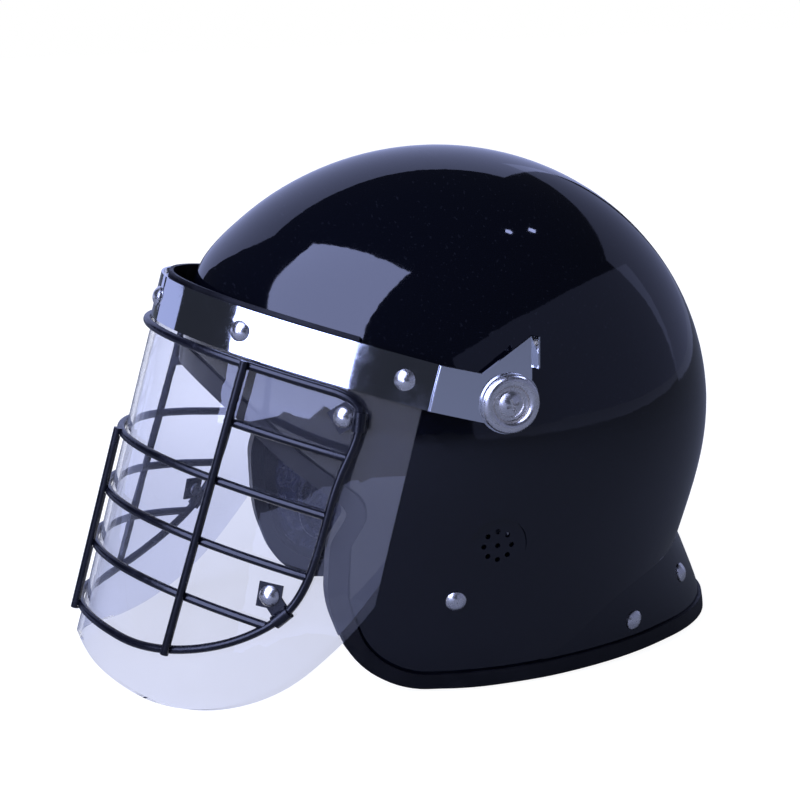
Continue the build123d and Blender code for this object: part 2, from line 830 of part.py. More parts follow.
# Chin cup: a crowned cushion that rides on the strap under the chin
cup_length = 60.0
cup_width = 36.0
cup_pad_wall = 9.0
chin_section_shares = ((0, 0.90), (0.35, 1.00), (0.75, 0.93), (1.00, 0.72))
cup_floor = strap_run_z + strap_wall / 2 + soft_gap
chin_sections = []
for rise_share, size_share in chin_section_shares:
    outline = RectangleRounded(
        cup_length * size_share, cup_width * size_share, cup_width * size_share / 3
    )
    place = Pos(0, strap_y, cup_floor + rise_share * cup_pad_wall)
    chin_sections.append(place * outline.wire())
chin_cup = Solid.make_loft(chin_sections)

# Shell rivets on each side: front and rear strap anchors and one on the nape
anchor_y = -21.2
anchor_z = -99.7
rear_anchor_y = 81.5
rear_anchor_z = -128.0
nape_rivet_x = 54.6
nape_rivet_z = -116.2
anchor_grip = 10.2
tab_depth_share = 1.9
rear_tab_depth = shell_wall + tab_depth_share * strap_wall
rear_grip = rear_tab_depth + strap_wall / 2 + soft_gap
washer_radius = 7.0
washer_wall = 1.0


def outer_seat(start, direction):
    """A plane on the shell's outer face where a line from start leaves it."""
    hits = shell_outer.find_intersection_points(Axis(start, direction))
    point, normal = max(hits, key=lambda hit: hit[0].dot(Vector(*direction)))
    return Plane(origin=point, z_dir=normal)


front_seat = outer_seat((0, anchor_y, anchor_z), (1, 0, 0))
rear_seat = outer_seat((0, rear_anchor_y, rear_anchor_z), (1, 0, 0))
nape_seat = outer_seat((nape_rivet_x, 0, nape_rivet_z), (0, 1, 0))
washer = Pos(0, 0, -washer_wall / 2) * (
    Cylinder(washer_radius, washer_wall) - Cylinder(rivet_bore_radius, overrun)
)
shell_rivets = []
rivet_washers = []
for seat, grip in ((front_seat, anchor_grip), (rear_seat, rear_grip), (nape_seat, shell_wall + soft_gap)):
    rivet_seat = seat * Pos(0, 0, fit_gap)
    shell_rivets += both_sides(rivet_seat * rivet(grip + washer_wall + 2 * fit_gap))
    rivet_washers += both_sides(seat * Pos(0, 0, -grip) * washer)
    shell -= both_sides(seat * Cylinder(rivet_bore_radius, overrun))

# Rear legs of the strap: from the rear anchors forward, lapped on the front legs
rear_lap_z = -118.0
rear_tab_half = 11.0
leg_run_x = strap_low_x - strap_top_x
leg_run_z = strap_low_z - strap_top_z
leg_length = math.hypot(leg_run_x, leg_run_z)
lap_share = (rear_lap_z - strap_top_z) / leg_run_z
lap_step = strap_wall + pocket_gap
lap_x = strap_top_x + lap_share * leg_run_x + lap_step * leg_run_z / leg_length
lap_z = rear_lap_z - lap_step * leg_run_x / leg_length
tab_centre = rear_seat.origin - rear_seat.z_dir * rear_tab_depth
tab_up = Vector(0, 0, 1) - rear_seat.z_dir * rear_seat.z_dir.Z
tab_run = tab_up.cross(rear_seat.z_dir).normalized()
tab_run = tab_run if tab_run.Y > 0 else tab_run * -1
leg_down = Vector(leg_run_x, 0, leg_run_z)
rear_sections = []
for centre, width_dir, run in (
    (tab_centre + tab_run * rear_tab_half, tab_up, tab_run * -1),
    (tab_centre - tab_run * rear_tab_half, tab_up, tab_run * -1),
    (Vector(lap_x, strap_y + strap_width / 2, lap_z), leg_down * -1, Vector(0, -1, 0)),
    (Vector(lap_x, strap_y - strap_width / 2, lap_z), leg_down * -1, Vector(0, -1, 0)),
):
    place = Plane(origin=centre, x_dir=width_dir, z_dir=run)
    rear_sections.append(place * Rectangle(strap_width, strap_wall).wire())
rear_strap = Solid.make_loft(rear_sections, ruled=True)
front_bore = front_seat * Cylinder(rivet_bore_radius, 2 * overrun)
chin_strap_left -= front_bore
chin_strap_right -= on_side(front_bore, -1)
rear_strap -= rear_seat * Cylinder(rivet_bore_radius, 2 * overrun)
rear_straps = both_sides(rear_strap)

# Cheek pads: crowned cushions against the shell wall, with a channel for the straps
cheek_centre_y = -26.0
cheek_centre_z = -99.0
cheek_length = 78.0
cheek_height = 70.0
cheek_corner = 28.0
cheek_back_x = 108.0
# X of each section and its size as a share of the pad's outline
cheek_section_shares = ((1.00, 0.93), (0.85, 1.00), (0.76, 0.98), (0.69, 0.86), (0.655, 0.60))
channel_x = 91.5
channel_low_x = 82.0
channel_top = strap_top_z + 3.0
channel_side = 2.0
cheek_sections = []
for x_share, size_share in cheek_section_shares:
    outline = RectangleRounded(
        cheek_length * size_share, cheek_height * size_share, cheek_corner * size_share
    )
    place = Plane(
        origin=(cheek_back_x * x_share, cheek_centre_y, cheek_centre_z),
        x_dir=(0, 1, 0),
        z_dir=(1, 0, 0),
    )
    cheek_sections.append(place * outline.wire())
cheek_pad = Solid.make_loft(cheek_sections) & shell_form(shell_wall + soft_gap, with_skirt=False)
channel_face = make_face(
    Polyline(
        (channel_x, channel_top),
        (channel_low_x, strap_run_z),
        (shell_half_width, strap_run_z),
        (shell_half_width, channel_top),
        (channel_x, channel_top),
    )
)
channel = Plane(origin=(0, strap_y, 0), x_dir=(1, 0, 0), z_dir=(0, -1, 0)) * extrude(
    channel_face, amount=strap_width / 2 + channel_side, both=True
)
rear_channel_top = lap_z + strap_width / 2 + channel_side
rear_channel = Pos(0, strap_y, 0) * Box(
    shell_half_width - channel_low_x,
    2 * cheek_length,
    rear_channel_top - strap_run_z,
    align=(Align.MIN, Align.MIN, Align.MIN),
)
rear_channel = Pos(channel_low_x, 0, strap_run_z) * rear_channel
cheek_pad = cheek_pad - channel - rear_channel
cheek_pad = max(cheek_pad.solids(), key=lambda solid: solid.volume)

helmet_pieces = (
    ("shell", shell),
    ("rim_edging", rim_edging),
    ("impact_liner", impact_liner),
    ("crown_pad", crown_pad),
    ("brow_pad", brow_pad),
    ("nape_pad", nape_pad),
    ("cheek_pad_left", cheek_pad),
    ("cheek_pad_right", on_side(cheek_pad, -1)),
    ("chin_strap_left", chin_strap_left),
    ("chin_strap_right", chin_strap_right),
    ("rear_straps", rear_straps),
    ("buckle_socket", buckle_socket),
    ("buckle_tongue", buckle_tongue),
    ("chin_cup", chin_cup),
    ("shell_rivets", shell_rivets),
    ("rivet_washers", rivet_washers),
    ("pivot_bushes", both_sides(bush)),
    ("friction_washers", both_sides(friction_washer)),
    ("nylon_washers", both_sides(nylon_washer)),
    ("cup_washers", both_sides(cup_washer)),
    ("pivot_screws", both_sides(pivot_screw_solid)),
    ("pivot_nuts", both_sides(nut)),
)
visor_pieces = (
    ("visor_lens", visor_lens),
    ("visor_band", visor_band),
    ("backing_plates", backing_plates),
    ("seal_strip", seal_strip),
    ("band_rivets", band_rivets),
    ("grille_top_wire", grille_top_wire),
    ("grille_bottom_wire", grille_bottom_wire),
    ("grille_side_left", grille_side_left),
    ("grille_side_right", grille_side_right),
    ("grille_rungs", grille_rungs),
    ("grille_eye_rungs", grille_eye_rungs),
    ("grille_uprights", grille_uprights),
    ("grille_clips", grille_clips),
    ("clip_rivets", clip_rivets),
)

# Stand the helmet on its cheek rims and its rear rim, and centre its box
stand_tilt = 0.9
stances = (
    (helmet_pieces, Rot(-stand_tilt, 0, 0)),
    (visor_pieces, Rot(-stand_tilt - visor_lean, 0, 0)),
)
parts = {}
for pieces, place in stances:
    for name, body in pieces:
        members = body if isinstance(body, (list, tuple)) else [body]
        parts[name] = [place * solid for member in members for solid in member.solids()]
boxes = [solid.bounding_box() for solids in parts.values() for solid in solids]
front_y = min(box.min.Y for box in boxes)
back_y = max(box.max.Y for box in boxes)
floor_z = min(box.min.Z for box in boxes)
stand = Pos(0, -(front_y + back_y) / 2, -floor_z)

os.makedirs("parts", exist_ok=True)
for name, solids in parts.items():
    placed = [stand * solid for solid in solids]
    export_step(Compound(children=placed) if len(placed) > 1 else placed[0], f"parts/{name}.step")
print("visor pivot axis passes through", tuple(stand.position))
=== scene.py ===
# %% [markdown]
# # A riot helmet, dressed for its portrait
#
# The solids of this helmet were drawn in a CAD program and packed into one file: a glossy
# one-piece shell, a visor that turns on two screws, a wire grille, a foam liner and a strap.
# Here they get their looks. Hard pieces keep their solids and receive a material. Soft
# pieces, which are pads and webbing, are made again as padding and cloth, because a solid
# with sharp edges never looks sewn. Everything is in metres and in the frame of the solids,
# so nothing has to be fitted by eye.

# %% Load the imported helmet
import json
import math

import bmesh
import bpy
from mathutils import Matrix, Vector, kdtree
from mathutils.bvhtree import BVHTree


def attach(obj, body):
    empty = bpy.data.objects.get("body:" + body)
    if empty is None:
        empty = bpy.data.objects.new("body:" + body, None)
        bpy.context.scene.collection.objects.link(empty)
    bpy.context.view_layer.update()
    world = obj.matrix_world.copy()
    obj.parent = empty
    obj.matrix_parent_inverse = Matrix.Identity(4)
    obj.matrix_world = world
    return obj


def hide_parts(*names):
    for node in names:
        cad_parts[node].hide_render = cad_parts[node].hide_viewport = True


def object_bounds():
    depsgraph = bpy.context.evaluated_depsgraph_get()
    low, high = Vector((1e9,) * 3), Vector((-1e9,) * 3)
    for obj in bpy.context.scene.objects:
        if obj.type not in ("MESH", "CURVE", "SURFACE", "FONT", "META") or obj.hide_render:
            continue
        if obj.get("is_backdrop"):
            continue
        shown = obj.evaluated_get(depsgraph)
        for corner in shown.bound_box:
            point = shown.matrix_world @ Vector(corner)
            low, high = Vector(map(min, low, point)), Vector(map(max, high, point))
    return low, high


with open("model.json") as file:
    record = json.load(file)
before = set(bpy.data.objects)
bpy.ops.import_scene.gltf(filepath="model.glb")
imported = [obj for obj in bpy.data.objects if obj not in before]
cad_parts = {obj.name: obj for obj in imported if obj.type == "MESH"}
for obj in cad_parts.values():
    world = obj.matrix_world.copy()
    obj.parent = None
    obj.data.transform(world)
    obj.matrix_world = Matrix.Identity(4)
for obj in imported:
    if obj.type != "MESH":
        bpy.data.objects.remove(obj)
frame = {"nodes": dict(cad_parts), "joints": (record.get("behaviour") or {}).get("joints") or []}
nodes = frame["nodes"]
scene = bpy.context.scene
scene.view_settings.view_transform = "Standard"
cad_box = [list(corner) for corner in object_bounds()]
pivot = Vector(frame["joints"][0]["pos_m"])
print(len(nodes), "solids; the visor turns about", tuple(pivot))

# %% [markdown]
# ## The drawing's own frame
#
# The helmet was drawn in millimetres round the middle of the visor's axis, and then tipped
# back a little so that it stands on its rims. Routes of straps and outlines of pads are
# easiest to give in that first frame. One matrix takes them to where the helmet stands.

# %% From the drawing's millimetres to the standing helmet
MM = 0.001
PER_METRE = 1000
stand_tilt = math.radians(-0.9)
to_stand = Matrix.Translation(pivot) @ Matrix.Rotation(stand_tilt, 4, "X")
dome_y, dome_z, crown_z = -0.8, -34.4, 106


def placed(x, y, z):
    """A point of the drawing, in millimetres, where the standing helmet has it."""
    return to_stand @ (Vector((x, y, z)) * MM)


def turned(x, y, z):
    """A direction of the drawing, on the standing helmet."""
    return (to_stand.to_3x3() @ Vector((x, y, z))).normalized()


dome_centre = placed(0, dome_y, dome_z)
print("crown of the drawing's dome:", [round(v, 4) for v in placed(0, dome_y, crown_z)])

# %% [markdown]
# ## The camera
#
# The picture is taken with a long lens from the helmet's left front, a little above it. A
# long lens keeps the two ends of the pivot axis nearly the same size. The place and the
# three directions were solved from points that the drawing and the picture share, so the
# camera is set by a matrix and not by pointing it at something.

# %% Set the camera
view_place = (0.9678, -0.3122, 0.2274)
view_right = Vector((0.2917, 0.9565, 0.0)).normalized()
view_forward = Vector((-0.9279, 0.2830, -0.2427)).normalized()
view_up = view_right.cross(view_forward).normalized()
turn = Matrix((view_right, view_up, -view_forward)).transposed().to_4x4()
camera_data = bpy.data.cameras.new("portrait_lens")
camera_data.lens = 90.0
camera_data.sensor_width = 36.0
camera = bpy.data.objects.new("portrait_camera", camera_data)
scene.collection.objects.link(camera)
camera.matrix_world = to_stand @ Matrix.Translation(view_place) @ turn
scene.camera = camera
print("camera stands at", [round(v, 3) for v in camera.matrix_world.translation])

# %% [markdown]
# ## Small helpers for node trees
#
# Every material, the world and the modifiers are node trees. One helper that adds a node,
# fills its sockets and links what is already an output keeps the cells below short enough
# to read. A socket that gets a number holds it; one that gets an output is linked. Sums, a
# point's own place and the kinds of ray are asked for often, so each has a short name too.


# %% Add a node and fill its sockets
def put(tree, kind, sockets=None, **settings):
    """Add a node. A socket's value may be a number, a colour or another node's output."""
    node = tree.nodes.new(kind)
    for name, value in settings.items():
        setattr(node, name, value)
    for name, value in (sockets or {}).items():
        if isinstance(value, bpy.types.NodeSocket):
            tree.links.new(value, node.inputs[name])
        else:
            node.inputs[name].default_value = value
    return node


def ramp(tree, factor, low, high, dark=0.0, light=1.0):
    """A smooth step of a value between two levels."""
    return put(
        tree,
        "ShaderNodeMapRange",
        {"Value": factor, "From Min": low, "From Max": high, "To Min": dark, "To Max": light},
        interpolation_type="SMOOTHSTEP",
    ).outputs["Result"]


def maths(tree, operation, *values):
    """The result of a sum on one value or two."""
    return put(tree, "ShaderNodeMath", dict(enumerate(values)), operation=operation).outputs[0]


def own_place(tree):
    """Where a point is in its object's own frame, in metres."""
    return put(tree, "ShaderNodeTexCoord").outputs["Object"]


def ray_kinds(tree):
    """The kinds of ray, and whether one comes from the camera, also through the visor."""
    rays = put(tree, "ShaderNodeLightPath").outputs
    seen = maths(tree, "MAXIMUM", rays["Is Camera Ray"], rays["Is Transmission Ray"])
    return rays, seen


def add_socket(tree, label, way, kind, value=None):
    """Give a node group an input or an output."""
    socket = tree.interface.new_socket(
        name=label, in_out=way, socket_type="NodeSocket" + kind
    )
    if value is not None:
        socket.default_value = value


def new_group(name, inputs, outputs):
    """A node group with number inputs and outputs, and its two end nodes."""
    group = bpy.data.node_groups.new(name, "ShaderNodeTree")
    for label, value in inputs:
        add_socket(group, label, "INPUT", "Float", value)
    for label in outputs:
        add_socket(group, label, "OUTPUT", "Float")
    start = group.nodes.new("NodeGroupInput")
    end = group.nodes.new("NodeGroupOutput")
    return group, start.outputs, end


print("node helpers are ready")

# %% [markdown]
# ## Floor and world
#
# The picture has a plain white ground. The floor and the world are white to the camera and
# through the clear visor, and the floor still takes the helmet's shadow. Close to the helmet
# its glow is turned down a little, as painted shade, and clearly more where it is seen through
# the visor, as painted shadow, as in the picture. To glossy surfaces floor and world show much
# dimmer: the real studio was dark
# apart from its lamps, and a black lacquer in an all-white room would look grey.

# %% Make the world
world = bpy.data.worlds.new("white_studio")
scene.world = world
world.use_nodes = True
sky = world.node_tree
sky.nodes.clear()
rays, seen = ray_kinds(sky)
white_sky = put(sky, "ShaderNodeBackground", {"Color": (1.0, 1.0, 1.0, 1.0), "Strength": 1.0})
fill_sky = put(sky, "ShaderNodeBackground", {"Color": (0.80, 0.86, 1.0, 1.0), "Strength": 0.30})
gloss_sky = put(sky, "ShaderNodeBackground", {"Color": (0.62, 0.70, 1.0, 1.0), "Strength": 0.035})
unseen = put(
    sky, "ShaderNodeMixShader",
    {0: rays["Is Glossy Ray"], 1: fill_sky.outputs[0], 2: gloss_sky.outputs[0]},
)
all_sky = put(
    sky, "ShaderNodeMixShader", {0: seen, 1: unseen.outputs[0], 2: white_sky.outputs[0]}
)
put(sky, "ShaderNodeOutputWorld", {"Surface": all_sky.outputs[0]})
print("world:", len(sky.nodes), "nodes")

# %% Make the floor
floor_half = 4.0
corners = [(-floor_half, -floor_half, 0), (floor_half, -floor_half, 0)]
corners += [(floor_half, floor_half, 0), (-floor_half, floor_half, 0)]
floor_mesh = bpy.data.meshes.new("floor")
floor_mesh.from_pydata(corners, [], [(0, 1, 2, 3)])
floor = bpy.data.objects.new("floor", floor_mesh)
scene.collection.objects.link(floor)
floor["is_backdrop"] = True
paper = bpy.data.materials.new("white_paper")
paper.use_nodes = True
tree = paper.node_tree
tree.nodes.clear()
rays, seen = ray_kinds(tree)
reach = put(tree, "ShaderNodeVectorMath", {0: own_place(tree)}, operation="LENGTH")
# Painted shade round the helmet: the glow drops to 0.94 near it, and to 0.70 where the ground is
# seen through the visor.
ground_glow_with_painted_shade = ramp(tree, reach.outputs["Value"], low=0.25, high=0.8, dark=0.94)
painted_shadow_through_visor = ramp(tree, reach.outputs["Value"], low=0.20, high=0.55, dark=0.70)
level = put(
    tree, "ShaderNodeMix",
    {"Factor": rays["Is Transmission Ray"], "A": ground_glow_with_painted_shade, "B": painted_shadow_through_visor},
    data_type="FLOAT",
)
seen_level = maths(tree, "MULTIPLY", level.outputs["Result"], seen)
matt = put(tree, "ShaderNodeBsdfDiffuse", {"Color": (0.23, 0.235, 0.24, 1.0)})
glow = put(tree, "ShaderNodeEmission", {"Color": (1.0, 1.0, 1.0, 1.0), "Strength": seen_level})
both = put(tree, "ShaderNodeAddShader", {0: matt.outputs[0], 1: glow.outputs[0]})
put(tree, "ShaderNodeOutputMaterial", {"Surface": both.outputs[0]})
floor_mesh.materials.append(paper)
print("floor:", 2 * floor_half, "m square")

# %% [markdown]
# ## Lamps
#
# What a black gloss shows is its lamps. Each highlight in the picture was followed back
# from the shell to the direction it comes from, and a flat panel stands there: a large
# softbox at the front left that lights the crown and the chromed band, dim cards on the far
# side and low at its front, a low narrow card on the near side, two dim cards behind for the
# rear of the shell, and two small lamps overhead. Panels light a scene softly and reflect as
# plain bright shapes.


# %% Stand panels of light round the helmet
middle = Vector((0.0, 0.0, 0.15))
lamp_tint = (0.49, 0.56, 1.0)
watts_per_level = 4.0  # for each square metre of a panel


def toward(azimuth, elevation):
    """A direction from the helmet: azimuth 0 is in front, 90 on its left."""
    around, above = math.radians(azimuth), math.radians(elevation)
    return Vector(
        (math.sin(around) * math.cos(above), -math.cos(around) * math.cos(above), math.sin(above))
    )


def panel(name, centre, across, upward, width, height, radiance):
    """A flat area lamp; its width and height run along two directions, and it faces in."""
    lamp = bpy.data.lights.new(name, "AREA")
    lamp.shape = "RECTANGLE"
    lamp.size, lamp.size_y = width, height
    lamp.energy = watts_per_level * radiance * width * height
    lamp.color = lamp_tint
    stand = bpy.data.objects.new(name, lamp)
    scene.collection.objects.link(stand)
    axis_x = across.normalized()
    axis_y = (upward - axis_x * upward.dot(axis_x)).normalized()
    axes = Matrix((axis_x, axis_y, axis_x.cross(axis_y))).transposed()
    if axes.col[2].dot(centre) < 0:
        axes = Matrix((-axis_x, axis_y, -axis_x.cross(axis_y))).transposed()
    stand.matrix_world = Matrix.Translation(middle + centre) @ axes.to_4x4()
    stand.visible_camera = False
    stand.visible_transmission = False
    print(f"{name}: {width:.2f} x {height:.2f} m, level {radiance}")


def facing_panel(name, azimuth, elevation, distance, width, height, radiance):
    """An upright panel that faces the helmet; angles in degrees, lengths in metres."""
    away = toward(azimuth, elevation)
    across = Vector((0, 0, 1)).cross(away)
    panel(name, away * distance, across, away.cross(across), width, height, radiance)


softbox_across = Vector((0.886, 0.462, -0.021))
softbox_up = Vector((-0.387, 0.678, 0.623))
softbox_centre = Vector((0.684, -1.247, 0.908))
panel(
    "front_softbox", softbox_centre, softbox_across, softbox_up,
    width=1.36, height=2.22, radiance=4.15,
)
# name, azimuth, elevation, distance, width, height, radiance
facing_panels = (
    ("far_side_card", -93, 26, 1.6, 1.9, 1.7, 0.70),
    ("far_front_card", -44.5, 1.5, 1.6, 0.89, 0.36, 0.62),
    ("low_side_card", 50, -2, 1.6, 1.1, 0.18, 0.8),
    ("rear_card", 142, 14, 1.6, 3.4, 1.25, 0.19),
    ("back_card", -150, 14, 1.8, 1.6, 1.3, 0.30),
    ("overhead_lamp_a", 161.8, 60.2, 1.5, 0.05, 0.05, 8.0),
    ("overhead_lamp_b", 172.0, 54.0, 1.5, 0.05, 0.05, 8.0),
)
for row in facing_panels:
    facing_panel(*row)

# %% [markdown]
# ## Effects that several finishes share
#
# No real surface is one even value. Handling leaves a slightly duller film, moulded and
# coated parts have a fine grain, and leathercloth has a pebbled skin. Each of these effects
# is a node group, built once, with its own sizes as inputs. A group gives out a plain
# value, which the material then sends to its roughness, colour or bump.

# %% Marks of handling: a slow, patchy change of gloss
marks_group, given, end = new_group(
    "marks_of_handling",
    [("Patches per metre", 25.0), ("Clean", 0.05), ("Handled", 0.12)],
    ["Roughness", "Mask"],
)
patches = put(
    marks_group,
    "ShaderNodeTexNoise",
    {
        "Vector": own_place(marks_group), "Scale": given["Patches per metre"],
        "Detail": 5.0, "Roughness": 0.6,
    },
)
mask = ramp(marks_group, patches.outputs["Fac"], low=0.42, high=0.68)
level = put(
    marks_group,
    "ShaderNodeMapRange",
    {"Value": mask, "To Min": given["Clean"], "To Max": given["Handled"]},
)
marks_group.links.new(level.outputs["Result"], end.inputs["Roughness"])
marks_group.links.new(mask, end.inputs["Mask"])
print("built", marks_group.name)

# %% Fine grain: the pebbled surface of coatings, mouldings and leathercloth
grain_group, given, end = new_group(
    "fine_grain",
    [("Cells per metre", 900.0), ("Softness", 0.5)],
    ["Height", "Creases"],
)
place = own_place(grain_group)
cells = put(
    grain_group,
    "ShaderNodeTexVoronoi",
    {"Vector": place, "Scale": given["Cells per metre"], "Smoothness": given["Softness"]},
    feature="SMOOTH_F1",
)
speckle = put(
    grain_group,
    "ShaderNodeTexNoise",
    {"Vector": place, "Scale": given["Cells per metre"], "Detail": 3.0},
)
height = put(
    grain_group,
    "ShaderNodeMix",
    {"Factor": 0.4, "A": cells.outputs["Distance"], "B": speckle.outputs["Fac"]},
    data_type="FLOAT",
)
grain_group.links.new(height.outputs["Result"], end.inputs["Height"])
creases = ramp(grain_group, cells.outputs["Distance"], low=0.25, high=0.65)
grain_group.links.new(creases, end.inputs["Creases"])
print("built", grain_group.name)

# %% Hairline scratches: short streaks that only the gloss shows
scratch_group, given, end = new_group(
    "hairline_scratches", [("Streaks per metre", 60.0), ("Share", 0.5)], ["Mask"]
)
stretched = put(
    scratch_group,
    "ShaderNodeMapping",
    {
        "Vector": own_place(scratch_group),
        "Rotation": (0.4, 0.9, 0.3), "Scale": (1.0, 14.0, 14.0),
    },
)
streaks = put(
    scratch_group,
    "ShaderNodeTexNoise",
    {"Vector": stretched.outputs[0], "Scale": given["Streaks per metre"], "Detail": 2.0},
)
scratch_mask = ramp(scratch_group, streaks.outputs["Fac"], low=0.66, high=0.72)
share = maths(scratch_group, "MULTIPLY", scratch_mask, given["Share"])
scratch_group.links.new(share, end.inputs["Mask"])
print("built", scratch_group.name)

# %% [markdown]
# ## Finishes
#
# A finish starts as a Principled shader with the values that are the same all over. Its
# maker then adds what changes over the surface. Values that never change stay on the
# shader's own sockets, where any other program can read them.


# %% Start a finish
def new_finish(name, **fixed):
    """A material with a Principled shader whose plain values are set on its sockets."""
    material = bpy.data.materials.new(name)
    material.use_nodes = True
    tree = material.node_tree
    shader = tree.nodes["Principled BSDF"]
    for socket, value in fixed.items():
        shader.inputs[socket.replace("_", " ")].default_value = value
    return material, tree, shader


def placed_group(tree, group, **values):
    """A shared effect in a material, with its own values."""
    node = put(tree, "ShaderNodeGroup", node_tree=group)
    for socket, value in values.items():
        node.inputs[socket.replace("_", " ")].default_value = value
    return node


def add_bump(tree, shader, height, depth, strength=1.0):
    """Raise the surface by a height, in metres, seen only in its shading."""
    bump = put(
        tree, "ShaderNodeBump", {"Height": height, "Distance": depth, "Strength": strength}
    )
    tree.links.new(bump.outputs["Normal"], shader.inputs["Normal"])


def add_gloss_marks(tree, shader, patches, clean, handled):
    """Let the roughness wander between a clean and a handled value."""
    marks = placed_group(
        tree, marks_group, Patches_per_metre=patches, Clean=clean, Handled=handled
    )
    tree.links.new(marks.outputs["Roughness"], shader.inputs["Roughness"])
    return marks


def add_colour(tree, shader, mask, plain, masked):
    """Let the colour go from one to another with a mask."""
    mix = put(tree, "ShaderNodeMix", {"Factor": mask}, data_type="RGBA")
    mix.inputs["A"].default_value = (*plain, 1.0)
    mix.inputs["B"].default_value = (*masked, 1.0)
    tree.links.new(mix.outputs["Result"], shader.inputs["Base Color"])


finishes = {}
print("finish helpers are ready")

# %% [markdown]
# ### Shell lacquer
#
# The shell is moulded and sprayed deep black. Lacquer is a clear mirror over black, with a
# faint unevenness that bends a straight lamp edge a little, and some dust and fine
# scratches that only dull the mirror.

# %% Shell lacquer
lacquer, tree, shader = new_finish("shell_lacquer", IOR=1.6)
add_gloss_marks(tree, shader, patches=18.0, clean=0.035, handled=0.075)
scratches = placed_group(tree, scratch_group, Streaks_per_metre=45.0, Share=0.6)
black, dusty = (0.0016, 0.0020, 0.0045), (0.012, 0.013, 0.018)
add_colour(tree, shader, scratches.outputs["Mask"], black, dusty)
ripple = put(
    tree, "ShaderNodeTexNoise", {"Vector": own_place(tree), "Scale": 260.0, "Detail": 1.0}
)
add_bump(tree, shader, ripple.outputs["Fac"], depth=0.00004, strength=0.25)
finishes["shell_gloss"] = lacquer
print("lacquer:", len(tree.nodes), "nodes")

# %% [markdown]
# ### Rubber
#
# The edging round the rim and the seal behind the band are extruded rubber: near black,
# dull, and slightly paler where hands and tables have rubbed it.

# %% Rubber
rubber, tree, shader = new_finish("edging_rubber", IOR=1.5)
shader.inputs["Specular IOR Level"].default_value = 0.3
marks = add_gloss_marks(tree, shader, patches=60.0, clean=0.42, handled=0.62)
black, rubbed = (0.0035, 0.0035, 0.005), (0.008, 0.008, 0.010)
add_colour(tree, shader, marks.outputs["Mask"], black, rubbed)
grain = placed_group(tree, grain_group, Cells_per_metre=2200.0, Softness=0.6)
add_bump(tree, shader, grain.outputs["Height"], depth=0.00006)
finishes["edging_rubber"] = rubber
print("rubber:", len(tree.nodes), "nodes")

# %% [markdown]
# ### Liner foam
#
# The liner is moulded from swollen beads, which stay visible as flat cells with fine
# valleys between them. The cell edges are a distance pattern, so they stay the same size
# everywhere on the liner.

# %% Liner foam
foam, tree, shader = new_finish("liner_foam", Roughness=0.75)
beads = put(
    tree, "ShaderNodeTexVoronoi", {"Vector": own_place(tree), "Scale": 260.0},
    feature="DISTANCE_TO_EDGE",
)
# Painted shade: the valleys between the beads are coloured darker than their tops, by the same
# step that raises the beads in the bump.
bead_rise_and_painted_valley_shade = ramp(tree, beads.outputs["Distance"], low=0.0, high=0.12)
add_colour(tree, shader, bead_rise_and_painted_valley_shade, (0.010, 0.010, 0.011), (0.028, 0.028, 0.030))
add_bump(tree, shader, bead_rise_and_painted_valley_shade, depth=0.0004)
finishes["liner_foam"] = foam
print("foam:", len(tree.nodes), "nodes")

# %% [markdown]
# ### Leathercloth
#
# The pads are covered with soft black leathercloth. Its pebbled skin catches small points
# of light, and its folds look wet against the dull foam behind them. The colour leans a
# little to navy, as in the picture. The pads' own shape has the large folds; the smallest
# are raised in the shading, where they stand fourteen times as high as the pebbles.

# %% Leathercloth
leather, tree, shader = new_finish("pad_leathercloth", IOR=1.5)
add_gloss_marks(tree, shader, patches=70.0, clean=0.20, handled=0.32)
grain = placed_group(tree, grain_group, Cells_per_metre=1500.0, Softness=0.35)
navy, navy_in_painted_crease_shade = (0.014, 0.017, 0.042), (0.007, 0.009, 0.024)
# Painted shade: the creases between the pebbles are coloured a darker navy.
add_colour(tree, shader, grain.outputs["Creases"], navy, navy_in_painted_crease_shade)
folds = put(
    tree, "ShaderNodeTexNoise",
    {"Vector": own_place(tree), "Scale": 70.0, "Detail": 2.0, "Distortion": 1.6},
)
folds_to_grain = 14.0
fold_height = maths(tree, "MULTIPLY", folds.outputs["Fac"], folds_to_grain)
skin_height = maths(tree, "ADD", fold_height, grain.outputs["Height"])
add_bump(tree, shader, skin_height, depth=0.00030)
finishes["pad_leather"] = leather
print("leathercloth:", len(tree.nodes), "nodes")

# %% [markdown]
# ### Webbing
#
# A strap is woven: ribs run across it, and each rib leans one way and then the other. The
# pattern reads the strap's own map, whose units are metres along and across, so the weave
# follows the strap round its bends and is the same size on every strap.

# %% Webbing
weave_group, given, end = new_group(
    "ribbed_weave", [("Ribs per metre", 900.0), ("Ends per metre", 1300.0)], ["Height", "Shade"]
)
flat_map = put(weave_group, "ShaderNodeUVMap", uv_map="cloth")
axes = put(weave_group, "ShaderNodeSeparateXYZ", {0: flat_map.outputs[0]})
waves = []
for axis, count in (("X", "Ribs per metre"), ("Y", "Ends per metre")):
    turns = maths(weave_group, "MULTIPLY", axes.outputs[axis], given[count])
    angle = maths(weave_group, "MULTIPLY", turns, 2 * math.pi)
    waves.append(maths(weave_group, "SINE", angle))
rib_share = 0.6
crossed = maths(weave_group, "MULTIPLY", *waves)
rib = maths(weave_group, "MULTIPLY", waves[0], rib_share)
woven = maths(weave_group, "ADD", rib, crossed)
weave_group.links.new(woven, end.inputs["Height"])
weave_group.links.new(ramp(weave_group, woven, low=-1.2, high=1.2), end.inputs["Shade"])
webbing, tree, shader = new_finish(
    "strap_webbing", Roughness=0.72, Sheen_Weight=0.25, Sheen_Roughness=0.4
)
weave = placed_group(tree, weave_group, Ribs_per_metre=620.0, Ends_per_metre=900.0)
